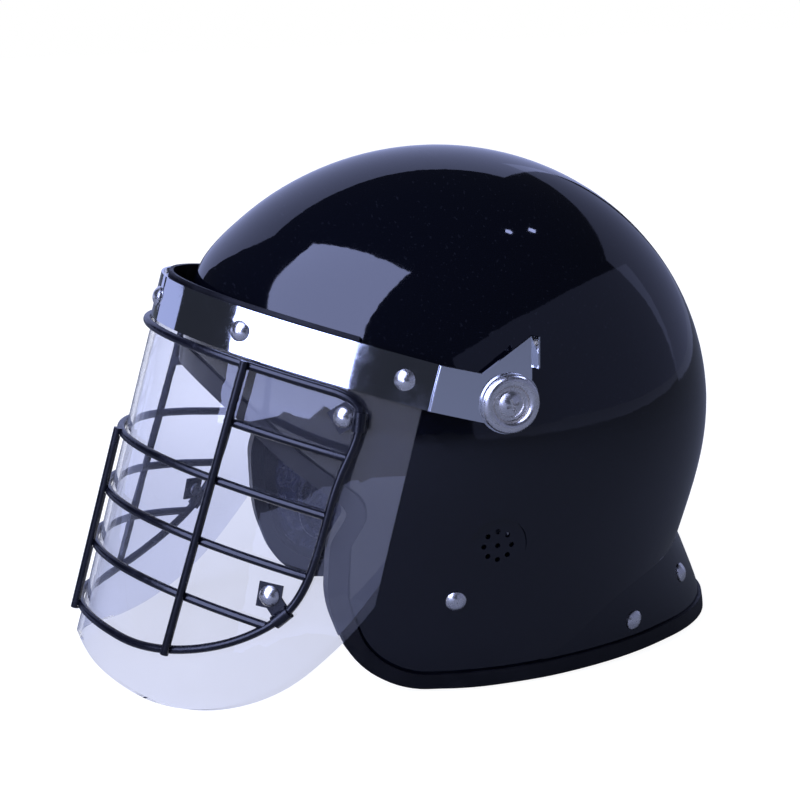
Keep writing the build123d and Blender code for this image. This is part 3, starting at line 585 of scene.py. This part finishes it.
# Painted shade: the hollows of the weave are coloured darker than the raised yarn.
yarn_in_painted_hollow_shade, raised_yarn = (0.006, 0.006, 0.008), (0.020, 0.020, 0.024)
add_colour(tree, shader, weave.outputs["Shade"], yarn_in_painted_hollow_shade, raised_yarn)
add_bump(tree, shader, weave.outputs["Height"], depth=0.00018)
finishes["webbing"] = webbing
print("webbing:", len(tree.nodes), "nodes")

# %% [markdown]
# ### Thread and moulded plastic
#
# Sewing thread is a tight twist with a slight shine. The buckle is moulded with a fine
# matt grain so that it doesn't glitter, and the washers are plain pale nylon.

# %% Thread, buckle plastic and washer nylon
thread, tree, shader = new_finish("sewing_thread", Sheen_Weight=0.3)
add_gloss_marks(tree, shader, patches=300.0, clean=0.45, handled=0.6)
twist = put(tree, "ShaderNodeTexNoise", {"Vector": own_place(tree), "Scale": 3000.0})
add_colour(tree, shader, twist.outputs["Fac"], (0.020, 0.021, 0.028), (0.050, 0.052, 0.064))

moulded, tree, shader = new_finish("buckle_moulding", IOR=1.5)
marks = add_gloss_marks(tree, shader, patches=90.0, clean=0.38, handled=0.52)
grain = placed_group(tree, grain_group, Cells_per_metre=2600.0, Softness=0.5)
add_colour(tree, shader, marks.outputs["Mask"], (0.008, 0.008, 0.010), (0.014, 0.014, 0.016))
add_bump(tree, shader, grain.outputs["Height"], depth=0.00007)
finishes["buckle_plastic"] = moulded

nylon, tree, shader = new_finish("washer_nylon", IOR=1.53, Subsurface_Weight=0.1)
marks = add_gloss_marks(tree, shader, patches=120.0, clean=0.32, handled=0.45)
add_colour(tree, shader, marks.outputs["Mask"], (0.56, 0.56, 0.57), (0.46, 0.46, 0.48))
finishes["washer_nylon"] = nylon
print("thread, buckle plastic and nylon are ready")

# %% [markdown]
# ### Metals
#
# The band is a polished strip with a plate bent from it at each end, and the screws, cup
# washers and rivets are nickel plated. Polished plate is a nearly clean mirror, so its look
# comes from the lamps. The nickel is duller and a little warmer, with a fine grain.

# %% Polished band and bright fasteners
chrome, tree, shader = new_finish("polished_band", Metallic=1.0)
add_gloss_marks(tree, shader, patches=40.0, clean=0.05, handled=0.12)
scratches = placed_group(tree, scratch_group, Streaks_per_metre=160.0, Share=0.5)
add_colour(tree, shader, scratches.outputs["Mask"], (0.80, 0.82, 0.86), (0.62, 0.64, 0.68))
add_bump(tree, shader, scratches.outputs["Mask"], depth=0.00001, strength=0.4)
finishes["chrome_band"] = chrome

nickel, tree, shader = new_finish("bright_fastener", Metallic=1.0)
marks = add_gloss_marks(tree, shader, patches=260.0, clean=0.24, handled=0.34)
add_colour(tree, shader, marks.outputs["Mask"], (0.97, 0.94, 0.89), (0.85, 0.83, 0.79))
grain = placed_group(tree, grain_group, Cells_per_metre=1800.0, Softness=0.7)
add_bump(tree, shader, grain.outputs["Height"], depth=0.00003)
finishes["bright_steel"] = nickel
print("metals are ready")

# %% [markdown]
# ### Coated wire
#
# The grille is welded from steel wire and dipped in black coating. The coating is smooth
# enough to draw one pale line along each wire, with a fine orange peel that breaks the line
# up, and it is duller and greyer in the patches that have been handled. The clips have the
# same coating, a little duller.

# %% Coated wire and clips
for slot_name, clean, handled in (("coated_wire", 0.20, 0.28), ("coated_clip", 0.24, 0.36)):
    coat, tree, shader = new_finish(slot_name + "_finish", IOR=1.55)
    marks = add_gloss_marks(tree, shader, patches=140.0, clean=clean, handled=handled)
    black, greyer = (0.0025, 0.0028, 0.006), (0.006, 0.0065, 0.012)
    add_colour(tree, shader, marks.outputs["Mask"], black, greyer)
    grain = placed_group(tree, grain_group, Cells_per_metre=1500.0, Softness=0.8)
    add_bump(tree, shader, grain.outputs["Height"], depth=0.00002)
    finishes[slot_name] = coat
print("coatings are ready")

# %% [markdown]
# ### Clear visor
#
# The visor is a clear sheet, 2.5 mm thick, with a faint cool tint. Its body bends light only
# a little: with the full index of plastic, rays caught between its two faces would bring
# the white ground in as a grey veil over everything behind it. The lamps are mirrored by a
# coat instead, which works where a ray meets the sheet from the air, and not from inside.
# A shadow through real glass shading would come out black and noisy, so rays of shadow pass
# through a plain tinted transparency.

# %% Clear visor sheet
clear, tree, shader = new_finish(
    "clear_sheet", Metallic=0.0, IOR=1.06, Transmission_Weight=0.985,
    Coat_Roughness=0.01, Coat_IOR=1.7,
)
marks = add_gloss_marks(tree, shader, patches=14.0, clean=0.0, handled=0.002)
add_colour(tree, shader, marks.outputs["Mask"], (0.85, 0.87, 0.97), (0.83, 0.85, 0.955))
sides = put(tree, "ShaderNodeNewGeometry")
met_from_air = ramp(tree, sides.outputs["Backfacing"], low=0.0, high=1.0, dark=1.0, light=0.0)
tree.links.new(met_from_air, shader.inputs["Coat Weight"])
rays = put(tree, "ShaderNodeLightPath").outputs
pass_through = put(tree, "ShaderNodeBsdfTransparent", {"Color": (0.86, 0.88, 0.95, 1.0)})
blend = put(
    tree, "ShaderNodeMixShader",
    {0: rays["Is Shadow Ray"], 1: shader.outputs[0], 2: pass_through.outputs[0]},
)
tree.links.new(blend.outputs[0], tree.nodes["Material Output"].inputs["Surface"])
finishes["clear_lens"] = clear
print("clear sheet:", len(tree.nodes), "nodes")

# %% Give every hard piece its finish
hard_pieces = {
    "shell_gloss": ("shell",),
    "edging_rubber": ("rim_edging", "seal_strip", "friction_washers"),
    "liner_foam": ("impact_liner",),
    "buckle_plastic": ("buckle_socket", "buckle_tongue"),
    "bright_steel": (
        "shell_rivets", "rivet_washers", "pivot_bushes", "cup_washers", "pivot_screws",
        "pivot_nuts", "band_rivets", "clip_rivets", "backing_plates",
    ),
    "chrome_band": ("visor_band",),
    "washer_nylon": ("nylon_washers",),
    "clear_lens": ("visor_lens",),
    "coated_wire": (
        "grille_top_wire", "grille_bottom_wire", "grille_side_left", "grille_side_right",
        "grille_rungs", "grille_eye_rungs", "grille_uprights",
    ),
    "coated_clip": ("grille_clips",),
}
for slot_name, members in hard_pieces.items():
    for member in members:
        for place in nodes[member].material_slots:
            place.material = finishes[slot_name]
print(sum(len(members) for members in hard_pieces.values()), "hard pieces have their finish")

# %% [markdown]
# ## Rows of stitches
#
# A seam is one stitch, again and again, along a line. Geometry Nodes do that: the line is
# turned into points at a given spacing, a small pod of thread is put on each, turned along
# the line, and the result becomes a plain mesh. Its sizes are inputs, so every seam uses
# the same tree.

# %% Build the tree for a row of stitches
stitch_tree = bpy.data.node_groups.new("stitch_row", "GeometryNodeTree")
add_socket(stitch_tree, "Line", "INPUT", "Geometry")
for label, size in (("Spacing", 0.003), ("Stitch length", 0.0022), ("Thread", 0.0007)):
    add_socket(stitch_tree, label, "INPUT", "Float", size)
add_socket(stitch_tree, "Finish", "INPUT", "Material")
add_socket(stitch_tree, "Shape", "OUTPUT", "Geometry")
given = stitch_tree.nodes.new("NodeGroupInput").outputs
end = stitch_tree.nodes.new("NodeGroupOutput")
line = put(stitch_tree, "GeometryNodeMeshToCurve", {"Mesh": given["Line"]})
spots = put(
    stitch_tree, "GeometryNodeCurveToPoints",
    {"Curve": line.outputs["Curve"], "Length": given["Spacing"]}, mode="LENGTH",
)
pod = put(stitch_tree, "GeometryNodeMeshUVSphere", {"Segments": 6, "Rings": 4, "Radius": 0.5})
size = put(
    stitch_tree, "ShaderNodeCombineXYZ",
    {"X": given["Thread"], "Y": given["Thread"], "Z": given["Stitch length"]},
)
shaped = put(
    stitch_tree, "GeometryNodeTransform",
    {"Geometry": pod.outputs["Mesh"], "Scale": size.outputs[0]},
)
rows = put(
    stitch_tree, "GeometryNodeInstanceOnPoints",
    {
        "Points": spots.outputs["Points"], "Instance": shaped.outputs[0],
        "Rotation": spots.outputs["Rotation"],
    },
)
real = put(stitch_tree, "GeometryNodeRealizeInstances", {"Geometry": rows.outputs[0]})
dyed = put(
    stitch_tree, "GeometryNodeSetMaterial",
    {"Geometry": real.outputs[0], "Material": given["Finish"]},
)
stitch_tree.links.new(dyed.outputs[0], end.inputs["Shape"])
print("built", stitch_tree.name)


# %% Run a tree along lines and keep a plain mesh
def plain_mesh(piece):
    """Make what a piece's modifiers show its own mesh, and take the modifiers away."""
    graph = bpy.context.evaluated_depsgraph_get()
    graph.update()
    made = bpy.data.meshes.new_from_object(piece.evaluated_get(graph))
    piece.modifiers.clear()
    piece.data = made


def along_lines(name, lines, tree, body, slot_name, closed=True, **sizes):
    """Run a tree along lines of points, and let the result ride on a body."""
    points, edges = [], []
    for one in lines:
        first = len(points)
        points += [tuple(p) for p in one]
        edges += [(first + i, first + i + 1) for i in range(len(one) - 1)]
        if closed:
            edges.append((first + len(one) - 1, first))
    wire = bpy.data.meshes.new(name)
    wire.from_pydata(points, edges, [])
    piece = bpy.data.objects.new(name, wire)
    scene.collection.objects.link(piece)
    steps = piece.modifiers.new("steps", "NODES")
    steps.node_group = tree
    wanted = {label.replace("_", " "): value for label, value in sizes.items()}
    for item in tree.interface.items_tree:
        if item.in_out == "INPUT" and item.name in wanted:
            steps[item.identifier] = wanted[item.name]
    plain_mesh(piece)
    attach(piece, body)
    print(f"{name}: {len(piece.data.polygons)} faces")


# %% [markdown]
# ## Pads
#
# The helmet rests on the head through pads: foam under leathercloth, sewn down along a seam
# inside each edge. A sewn pad is fullest between its seams and pulls in along them, and the
# cover, a little larger than its foam, wrinkles. Cloth simulation makes that: the pad's
# solid is turned into an even skin, its back and its seams are held, and air pressure and a
# slightly long cover do the rest. A cap on how far the skin may move keeps each pad off its
# neighbours.


# %% Read a solid into an even skin
def even_skin(name, node, voxel):
    """A copy of a CAD solid as one closed, even skin."""
    piece = bpy.data.objects.new(name, nodes[node].data.copy())
    scene.collection.objects.link(piece)
    mesh = bmesh.new()
    mesh.from_mesh(piece.data)
    bmesh.ops.remove_doubles(mesh, verts=mesh.verts, dist=0.000001)
    bmesh.ops.recalc_face_normals(mesh, faces=mesh.faces)
    mesh.to_mesh(piece.data)
    mesh.free()
    remesh = piece.modifiers.new("even", "REMESH")
    remesh.mode = "VOXEL"
    remesh.voxel_size = voxel
    remesh.use_smooth_shade = True
    plain_mesh(piece)
    return piece


def surface_of(piece):
    """A tree that rays can be cast at."""
    return BVHTree.FromPolygons(
        [v.co.copy() for v in piece.data.vertices],
        [tuple(p.vertices) for p in piece.data.polygons],
    )


def laid_on(surface, rays, lift=0.0):
    """Where rays, each a start and a direction, meet a surface, lifted off it a little."""
    found = []
    for start, direction in rays:
        spot, normal, _, _ = surface.ray_cast(start, direction)
        if spot is not None:
            if normal.dot(direction) > 0:
                normal = -normal
            found.append(spot + normal * lift)
    return found


print("pad helpers are ready")

# %% Sew and inflate a pad
puff_frames = 20
puff_pressure = 4.0
seam_reach, seam_depth, skin_depth = 0.0022, 0.0018, 0.0008


def sewn_pad(name, node, rays_of_seams, held_at, voxel=0.0035, slack=0.06, cap=0.004):
    """A pad over a CAD solid: held at its back and along its seams, and inflated."""
    piece = even_skin(name, node, voxel)
    surface = surface_of(piece)
    seams = [laid_on(surface, rays) for rays in rays_of_seams]
    tree_of_seams = kdtree.KDTree(sum(len(line) for line in seams))
    for index, spot in enumerate(spot for line in seams for spot in line):
        tree_of_seams.insert(spot, index)
    tree_of_seams.balance()
    held = piece.vertex_groups.new(name="held")
    start = []
    for vertex in piece.data.vertices:
        normal = vertex.normal.copy()
        seam_gap = tree_of_seams.find(vertex.co)[2]
        if held_at(vertex.co, normal):
            held.add([vertex.index], 1.0, "REPLACE")
        elif seam_gap < seam_reach:
            held.add([vertex.index], 1.0, "REPLACE")
            vertex.co -= normal * seam_depth
        else:
            vertex.co -= normal * skin_depth
        start.append(vertex.co.copy())
    inflate(piece, slack)
    for vertex, before in zip(piece.data.vertices, start):
        move = vertex.co - before
        if move.length > cap:
            vertex.co = before + move * (cap / move.length)
    soften = piece.modifiers.new("soften", "SUBSURF")
    soften.levels = soften.render_levels = 1
    plain_mesh(piece)
    for polygon in piece.data.polygons:
        polygon.use_smooth = True
    piece.data.materials.clear()
    piece.data.materials.append(finishes["pad_leather"])
    piece.vertex_groups.clear()
    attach(piece, "helmet")
    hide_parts(node)
    print(f"{name}: {len(piece.data.polygons)} faces")
    return piece


def inflate(piece, slack):
    """Blow a skin up for a few frames as cloth, and keep the result."""
    cloth = piece.modifiers.new("cover", "CLOTH")
    cloth.settings.vertex_group_mass = "held"
    cloth.settings.use_pressure = True
    cloth.settings.uniform_pressure_force = puff_pressure
    cloth.settings.shrink_min = -slack
    cloth.settings.effector_weights.gravity = 0.0
    cloth.settings.quality = 6
    cloth.settings.bending_stiffness = 0.05
    cloth.settings.mass = 0.25
    cloth.point_cache.frame_start = 1
    cloth.point_cache.frame_end = puff_frames
    for step in range(1, puff_frames + 1):
        scene.frame_set(step)
    plain_mesh(piece)
    scene.frame_set(1)


# %% Outlines for seams
ellipse_power, boxy_power = 2, 8
outline_height = 100.0
backing_cosine = 0.35


def rounded_outline(width, height, corner, count=96):
    """Points round a rectangle with rounded corners, centred on zero, in millimetres."""
    squareness = 1 - 2 * corner / min(width, height)
    power = ellipse_power + (boxy_power - ellipse_power) * squareness
    spots = []
    for index in range(count):
        angle = 2 * math.pi * index / count
        x, y = math.cos(angle), math.sin(angle)
        reach = (abs(x) ** power + abs(y) ** power) ** (-1 / power)
        spots.append((x * reach * width / 2, y * reach * height / 2))
    return spots


def rays_across(outline, centre, axis):
    """Rays from the helmet's middle plane through an outline, along one of its axes."""
    rays = []
    for u, v in outline:
        if axis in ("+X", "-X"):
            sign = 1 if axis == "+X" else -1
            rays.append((placed(0, centre[0] + u, centre[1] + v), turned(sign, 0, 0)))
        elif axis in ("+Y", "-Y"):
            sign = 1 if axis == "+Y" else -1
            rays.append((placed(centre[0] + u, 0, centre[1] + v), turned(0, sign, 0)))
        else:
            rays.append((placed(centre[0] + u, centre[1] + v, centre[2]), turned(0, 0, -1)))
    return rays


def rays_upward(outline):
    """Rays from the dome's centre up through an outline that lies above it."""
    rays = []
    for u, v in outline:
        spot = placed(u, dome_y + v, dome_z + outline_height)
        rays.append((dome_centre, (spot - dome_centre).normalized()))
    return rays


def faces_out(spot, normal):
    """True on the side of a pad that lies on the liner."""
    return normal.dot((spot - dome_centre).normalized()) > backing_cosine


print("outlines are ready")

# %% Crown, brow and nape pads
cross_steps = range(-34, 35, 2)
seam_rays = {
    "crown": [
        rays_upward(rounded_outline(width=72, height=72, corner=35)),
        rays_upward([(u, 0) for u in cross_steps]),
        rays_upward([(0, v) for v in cross_steps]),
    ],
    "brow": [rays_across(rounded_outline(102, 12, corner=5, count=150), (0, 37), "-Y")],
    "nape": [rays_across(rounded_outline(104, 27, corner=9, count=140), (0, -28), "+Y")],
}
pads = {
    "crown": sewn_pad("crown_cushion", "crown_pad", seam_rays["crown"], faces_out),
    "brow": sewn_pad(
        "brow_cushion", "brow_pad", seam_rays["brow"], faces_out, voxel=0.003, cap=0.003
    ),
    "nape": sewn_pad("nape_cushion", "nape_pad", seam_rays["nape"], faces_out),
}

# %% [markdown]
# ### Cheek pads and chin cup
#
# The cheek pads fill the ear region on each side and are the puffiest pieces: from the
# front one of them shows through the open face as dark, wrinkled leathercloth. The chin cup
# is a small cushion on the strap. All three get a longer cover, so they wrinkle more.

# %% Cheek pads and chin cup
cheek_centre = (-26, -99)
cheek_seam = rounded_outline(width=56, height=49, corner=20)
wall_cosine, wall_start = 0.3, 0.0935
chin_cosine = 0.5


def against_wall(side):
    """A test for the side of a cheek pad that lies on the shell."""

    def test(spot, normal):
        local = to_stand.inverted() @ spot
        return side * normal.x > wall_cosine or side * local.x > wall_start

    return test


def under_chin(spot, normal):
    """True on the underside of the chin cup, where it lies on the strap."""
    return normal.z < -chin_cosine


seam_rays["cheek_left"] = [rays_across(cheek_seam, cheek_centre, "+X")]
seam_rays["cheek_right"] = [rays_across(cheek_seam, cheek_centre, "-X")]
seam_rays["chin"] = [rays_across(rounded_outline(44, 23, corner=8), (0, -21, -100), "-Z")]
for side, label, node in (
    (1, "cheek_left", "cheek_pad_left"), (-1, "cheek_right", "cheek_pad_right")
):
    pads[label] = sewn_pad(
        label + "_cushion", node, seam_rays[label], against_wall(side),
        voxel=0.0027, slack=0.22, cap=0.006,
    )
pads["chin"] = sewn_pad(
    "chin_cushion", "chin_cup", seam_rays["chin"], under_chin, voxel=0.0022, slack=0.08, cap=0.0025
)

# %% Stitch the seams of the pads
thread_lift = 0.0001
pad_sewing = {"Spacing": 0.0032, "Stitch_length": 0.0025, "Thread": 0.0008, "Finish": thread}
for label, piece in pads.items():
    surface = surface_of(piece)
    lines = [laid_on(surface, rays, thread_lift) for rays in seam_rays[label]]
    along_lines(
        label + "_stitches", lines[:1], stitch_tree, "helmet", "pad_leather", **pad_sewing
    )
    if len(lines) > 1:
        along_lines(
            label + "_cross_stitches", lines[1:], stitch_tree, "helmet", "pad_leather",
            closed=False, **pad_sewing,
        )

# %% [markdown]
# ## Webbing straps
#
# The strap is flat webbing, 20 mm wide. It runs down inside the shell from a rivet on each
# side and under the chin, where a buckle joins its two halves, and a rear leg comes forward
# to steady it. A strap is modelled directly as a thin ribbon along its route, because a
# simulation of something so thin only adds noise. Its map is in metres, for the weave.

# %% Lay a ribbon along a route
strap_width = 20.0
strap_wall = 1.7
strap_edge = 0.7


def eased(corners, reach, count=6):
    """A route in millimetres whose inner corners are rounded over a reach each side."""
    route = [Vector(corners[0])]
    for before, corner, after in zip(corners, corners[1:], corners[2:]):
        before, corner, after = Vector(before), Vector(corner), Vector(after)
        start = corner + (before - corner).normalized() * reach
        end = corner + (after - corner).normalized() * reach
        for index in range(count + 1):
            t = index / count
            route.append(start * (1 - t) ** 2 + corner * 2 * t * (1 - t) + end * t**2)
    route.append(Vector(corners[-1]))
    return route


def filled(route, step):
    """A route with extra points wherever two neighbours stand further apart than a step."""
    full = [route[0]]
    for spot in route[1:]:
        last = full[-1]
        parts = max(1, math.ceil((spot - last).length / step))
        full += [last.lerp(spot, index / parts) for index in range(1, parts + 1)]
    return full


def ribbon(name, node, route, across):
    """Webbing along a route, its width along the given directions, all in millimetres."""
    half, wall, edge = strap_width / 2, strap_wall / 2, strap_edge
    section = [(-half, -wall / 2), (-half, wall / 2), (-half + edge, wall), (half - edge, wall)]
    section += [(half, wall / 2), (half, -wall / 2), (half - edge, -wall), (-half + edge, -wall)]
    mesh = bmesh.new()
    cloth_map = mesh.loops.layers.uv.new("cloth")
    rings, lengths, faces_up = [], [], []
    run = 0.0
    for index, spot in enumerate(route):
        if index:
            run += (spot - route[index - 1]).length
        ahead = route[min(index + 1, len(route) - 1)] - route[max(index - 1, 0)]
        wide = across[index].normalized()
        up = wide.cross(ahead.normalized()).normalized()
        ring = [mesh.verts.new(placed(*(spot + wide * u + up * w))) for u, w in section]
        rings.append(ring)
        lengths.append(run * MM)
        faces_up.append(up)
    count = len(section)
    spans = [u * MM for u, _ in section]
    for index in range(len(rings) - 1):
        for side in range(count):
            near, far = side, (side + 1) % count
            places = ((index, near), (index, far), (index + 1, far), (index + 1, near))
            face = mesh.faces.new([rings[ring_at][side_at] for ring_at, side_at in places])
            for loop, (along, wide_at) in zip(face.loops, places):
                loop[cloth_map].uv = (lengths[along], spans[wide_at])
    mesh.faces.new(rings[0])
    mesh.faces.new(list(reversed(rings[-1])))
    bmesh.ops.recalc_face_normals(mesh, faces=mesh.faces)
    data = bpy.data.meshes.new(name)
    mesh.to_mesh(data)
    mesh.free()
    for polygon in data.polygons:
        polygon.use_smooth = True
    data.materials.append(finishes["webbing"])
    piece = bpy.data.objects.new(name, data)
    scene.collection.objects.link(piece)
    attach(piece, "helmet")
    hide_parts(node)
    print(f"{name}: {lengths[-1] * PER_METRE:.0f} mm long")
    return list(zip(route, across, faces_up, lengths))


def mirrored(route):
    """The same points on the helmet's other side."""
    return [Vector((-spot.x, spot.y, spot.z)) for spot in route]


# %% Front legs of the strap
strap_y, rivet_z, wall_z, chin_z = -21.0, -89.0, -128.0, -140.0
rivet_x, wall_x, tongue_x, socket_x = 100.0, 92.3, 71.6, -48.7
front_corners = [(rivet_x, strap_y, rivet_z), (wall_x, strap_y, wall_z), (84.0, strap_y, chin_z)]
routes = [
    filled(eased([*front_corners, (end_x, strap_y, chin_z)], reach=5.0), step=4.0)
    for end_x in (tongue_x, socket_x)
]
left_route, right_route = routes[0], mirrored(routes[1])
forward = Vector((0, 1, 0))
left_track = ribbon(
    "chin_webbing_left", "chin_strap_left", left_route, [forward] * len(left_route),
)
right_track = ribbon(
    "chin_webbing_right", "chin_strap_right", right_route, [forward] * len(right_route),
)

# %% Rear legs of the strap
rear_rivet, tab_depth, tab_half = Vector((84.4, 81.5, -128.0)), 7.8, 11
lap_z, lap_depth, leg_lean, station_step = -118.0, 2.3, 7.7, 5
leg_down = (Vector((wall_x, 0, wall_z)) - Vector((rivet_x, 0, rivet_z))).normalized()
leg_out_x, leg_out_z = 0.981, -0.194
rear_out = Vector((0.91, 0.42, -0.05)).normalized()
tab_up = (Vector((0, 0, 1)) - rear_out * rear_out.z).normalized()
tab_run = tab_up.cross(rear_out).normalized()
tab_run = tab_run if tab_run.y > 0 else -tab_run
tab_centre = rear_rivet - rear_out * tab_depth
lap_x = rivet_x - leg_lean * (lap_z - rivet_z) / (wall_z - rivet_z)
lap_centre = Vector((lap_x - lap_depth * leg_out_x, strap_y, lap_z - lap_depth * leg_out_z))
lap_half = forward * strap_width / 2
stations = [
    (tab_centre + tab_run * tab_half, tab_up),
    (tab_centre - tab_run * tab_half, tab_up),
    (lap_centre + lap_half, -leg_down),
    (lap_centre - lap_half, -leg_down),
]
rear_route, rear_across = [], []
for (first, first_up), (last, last_up) in zip(stations, stations[1:]):
    parts = max(2, round((last - first).length / station_step))
    for index in range(parts):
        rear_route.append(first.lerp(last, index / parts))
        rear_across.append(first_up.lerp(last_up, index / parts))
rear_route.append(stations[-1][0])
rear_across.append(stations[-1][1])
rear_left_track = ribbon(
    "rear_webbing_left", "rear_straps", rear_route, rear_across
)
rear_right_track = ribbon(
    "rear_webbing_right", "rear_straps", mirrored(rear_route), mirrored(rear_across),
)

# %% [markdown]
# ### Stitches on the webbing
#
# Where one strap is sewn on another, the stitch runs round a box and across it in an X, so
# that no single broken thread lets go. Two more rows run along each strap's edges.

# %% Sew the straps
face_lift, shortest_span = 0.05, 1e-6
box_inset, box_length, box_end, box_parts = 2.5, 16, 18, 8
row_inset, row_step = 1.8, 4


def on_ribbon(track, along, across, side):
    """A point on a ribbon's face, from a length along it and across it in millimetres."""
    lift = side * (strap_wall / 2 + face_lift)
    for (spot, wide, up, run), (spot_b, wide_b, up_b, run_b) in zip(track, track[1:]):
        if run_b * PER_METRE >= along or run_b == track[-1][3]:
            span = max(shortest_span, (run_b - run) * PER_METRE)
            t = max(0.0, min(1.0, (along - run * PER_METRE) / span))
            wide_at = wide.lerp(wide_b, t).normalized()
            up_at = up.lerp(up_b, t).normalized()
            return placed(*(spot.lerp(spot_b, t) + wide_at * across + up_at * lift))


def box_stitch(track, start, length, side):
    """A sewn box with an X in it."""
    half = strap_width / 2 - box_inset
    end = start + length
    corners = [(start, -half), (start, half), (end, half), (end, -half), (start, -half)]
    lines = [corners, [(start, -half), (end, half)], [(start, half), (end, -half)]]
    sewn = []
    for line in lines:
        spots = []
        for (a, b), (c, d) in zip(line, line[1:]):
            for index in range(box_parts + 1):
                t = index / box_parts
                spots.append(on_ribbon(track, a + (c - a) * t, b + (d - b) * t, side))
        sewn.append(spots)
    return sewn


def edge_rows(track, side):
    """Two rows of stitches along a ribbon, just inside its edges."""
    length = track[-1][3] * PER_METRE
    count = int(length / row_step)
    rows = []
    for across in (-strap_width / 2 + row_inset, strap_width / 2 - row_inset):
        rows.append([on_ribbon(track, length * i / count, across, side) for i in range(count + 1)])
    return rows


sewn = []
for track in (rear_left_track, rear_right_track):
    total = track[-1][3] * PER_METRE
    for side in (1, -1):
        sewn += box_stitch(track, total - box_end, box_length, side)
        sewn += edge_rows(track, side)
for track in (left_track, right_track):
    for side in (1, -1):
        sewn += edge_rows(track, side)
along_lines(
    "strap_stitches", sewn, stitch_tree, "helmet", "webbing", closed=False,
    Spacing=0.0030, Stitch_length=0.0023, Thread=0.0006, Finish=thread,
)

# %% [markdown]
# ## Measure and finish
#
# Dressing must not change the size of the object. The box of the solids and the box of the
# dressed helmet are written side by side, so that they can be compared.

# %% Write the sizes and finish
visual_box = [list(corner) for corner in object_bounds()]
for label, box in (("solids", cad_box), ("dressed", visual_box)):
    print(label, [round((high - low) * PER_METRE, 1) for low, high in zip(*box)], "mm")
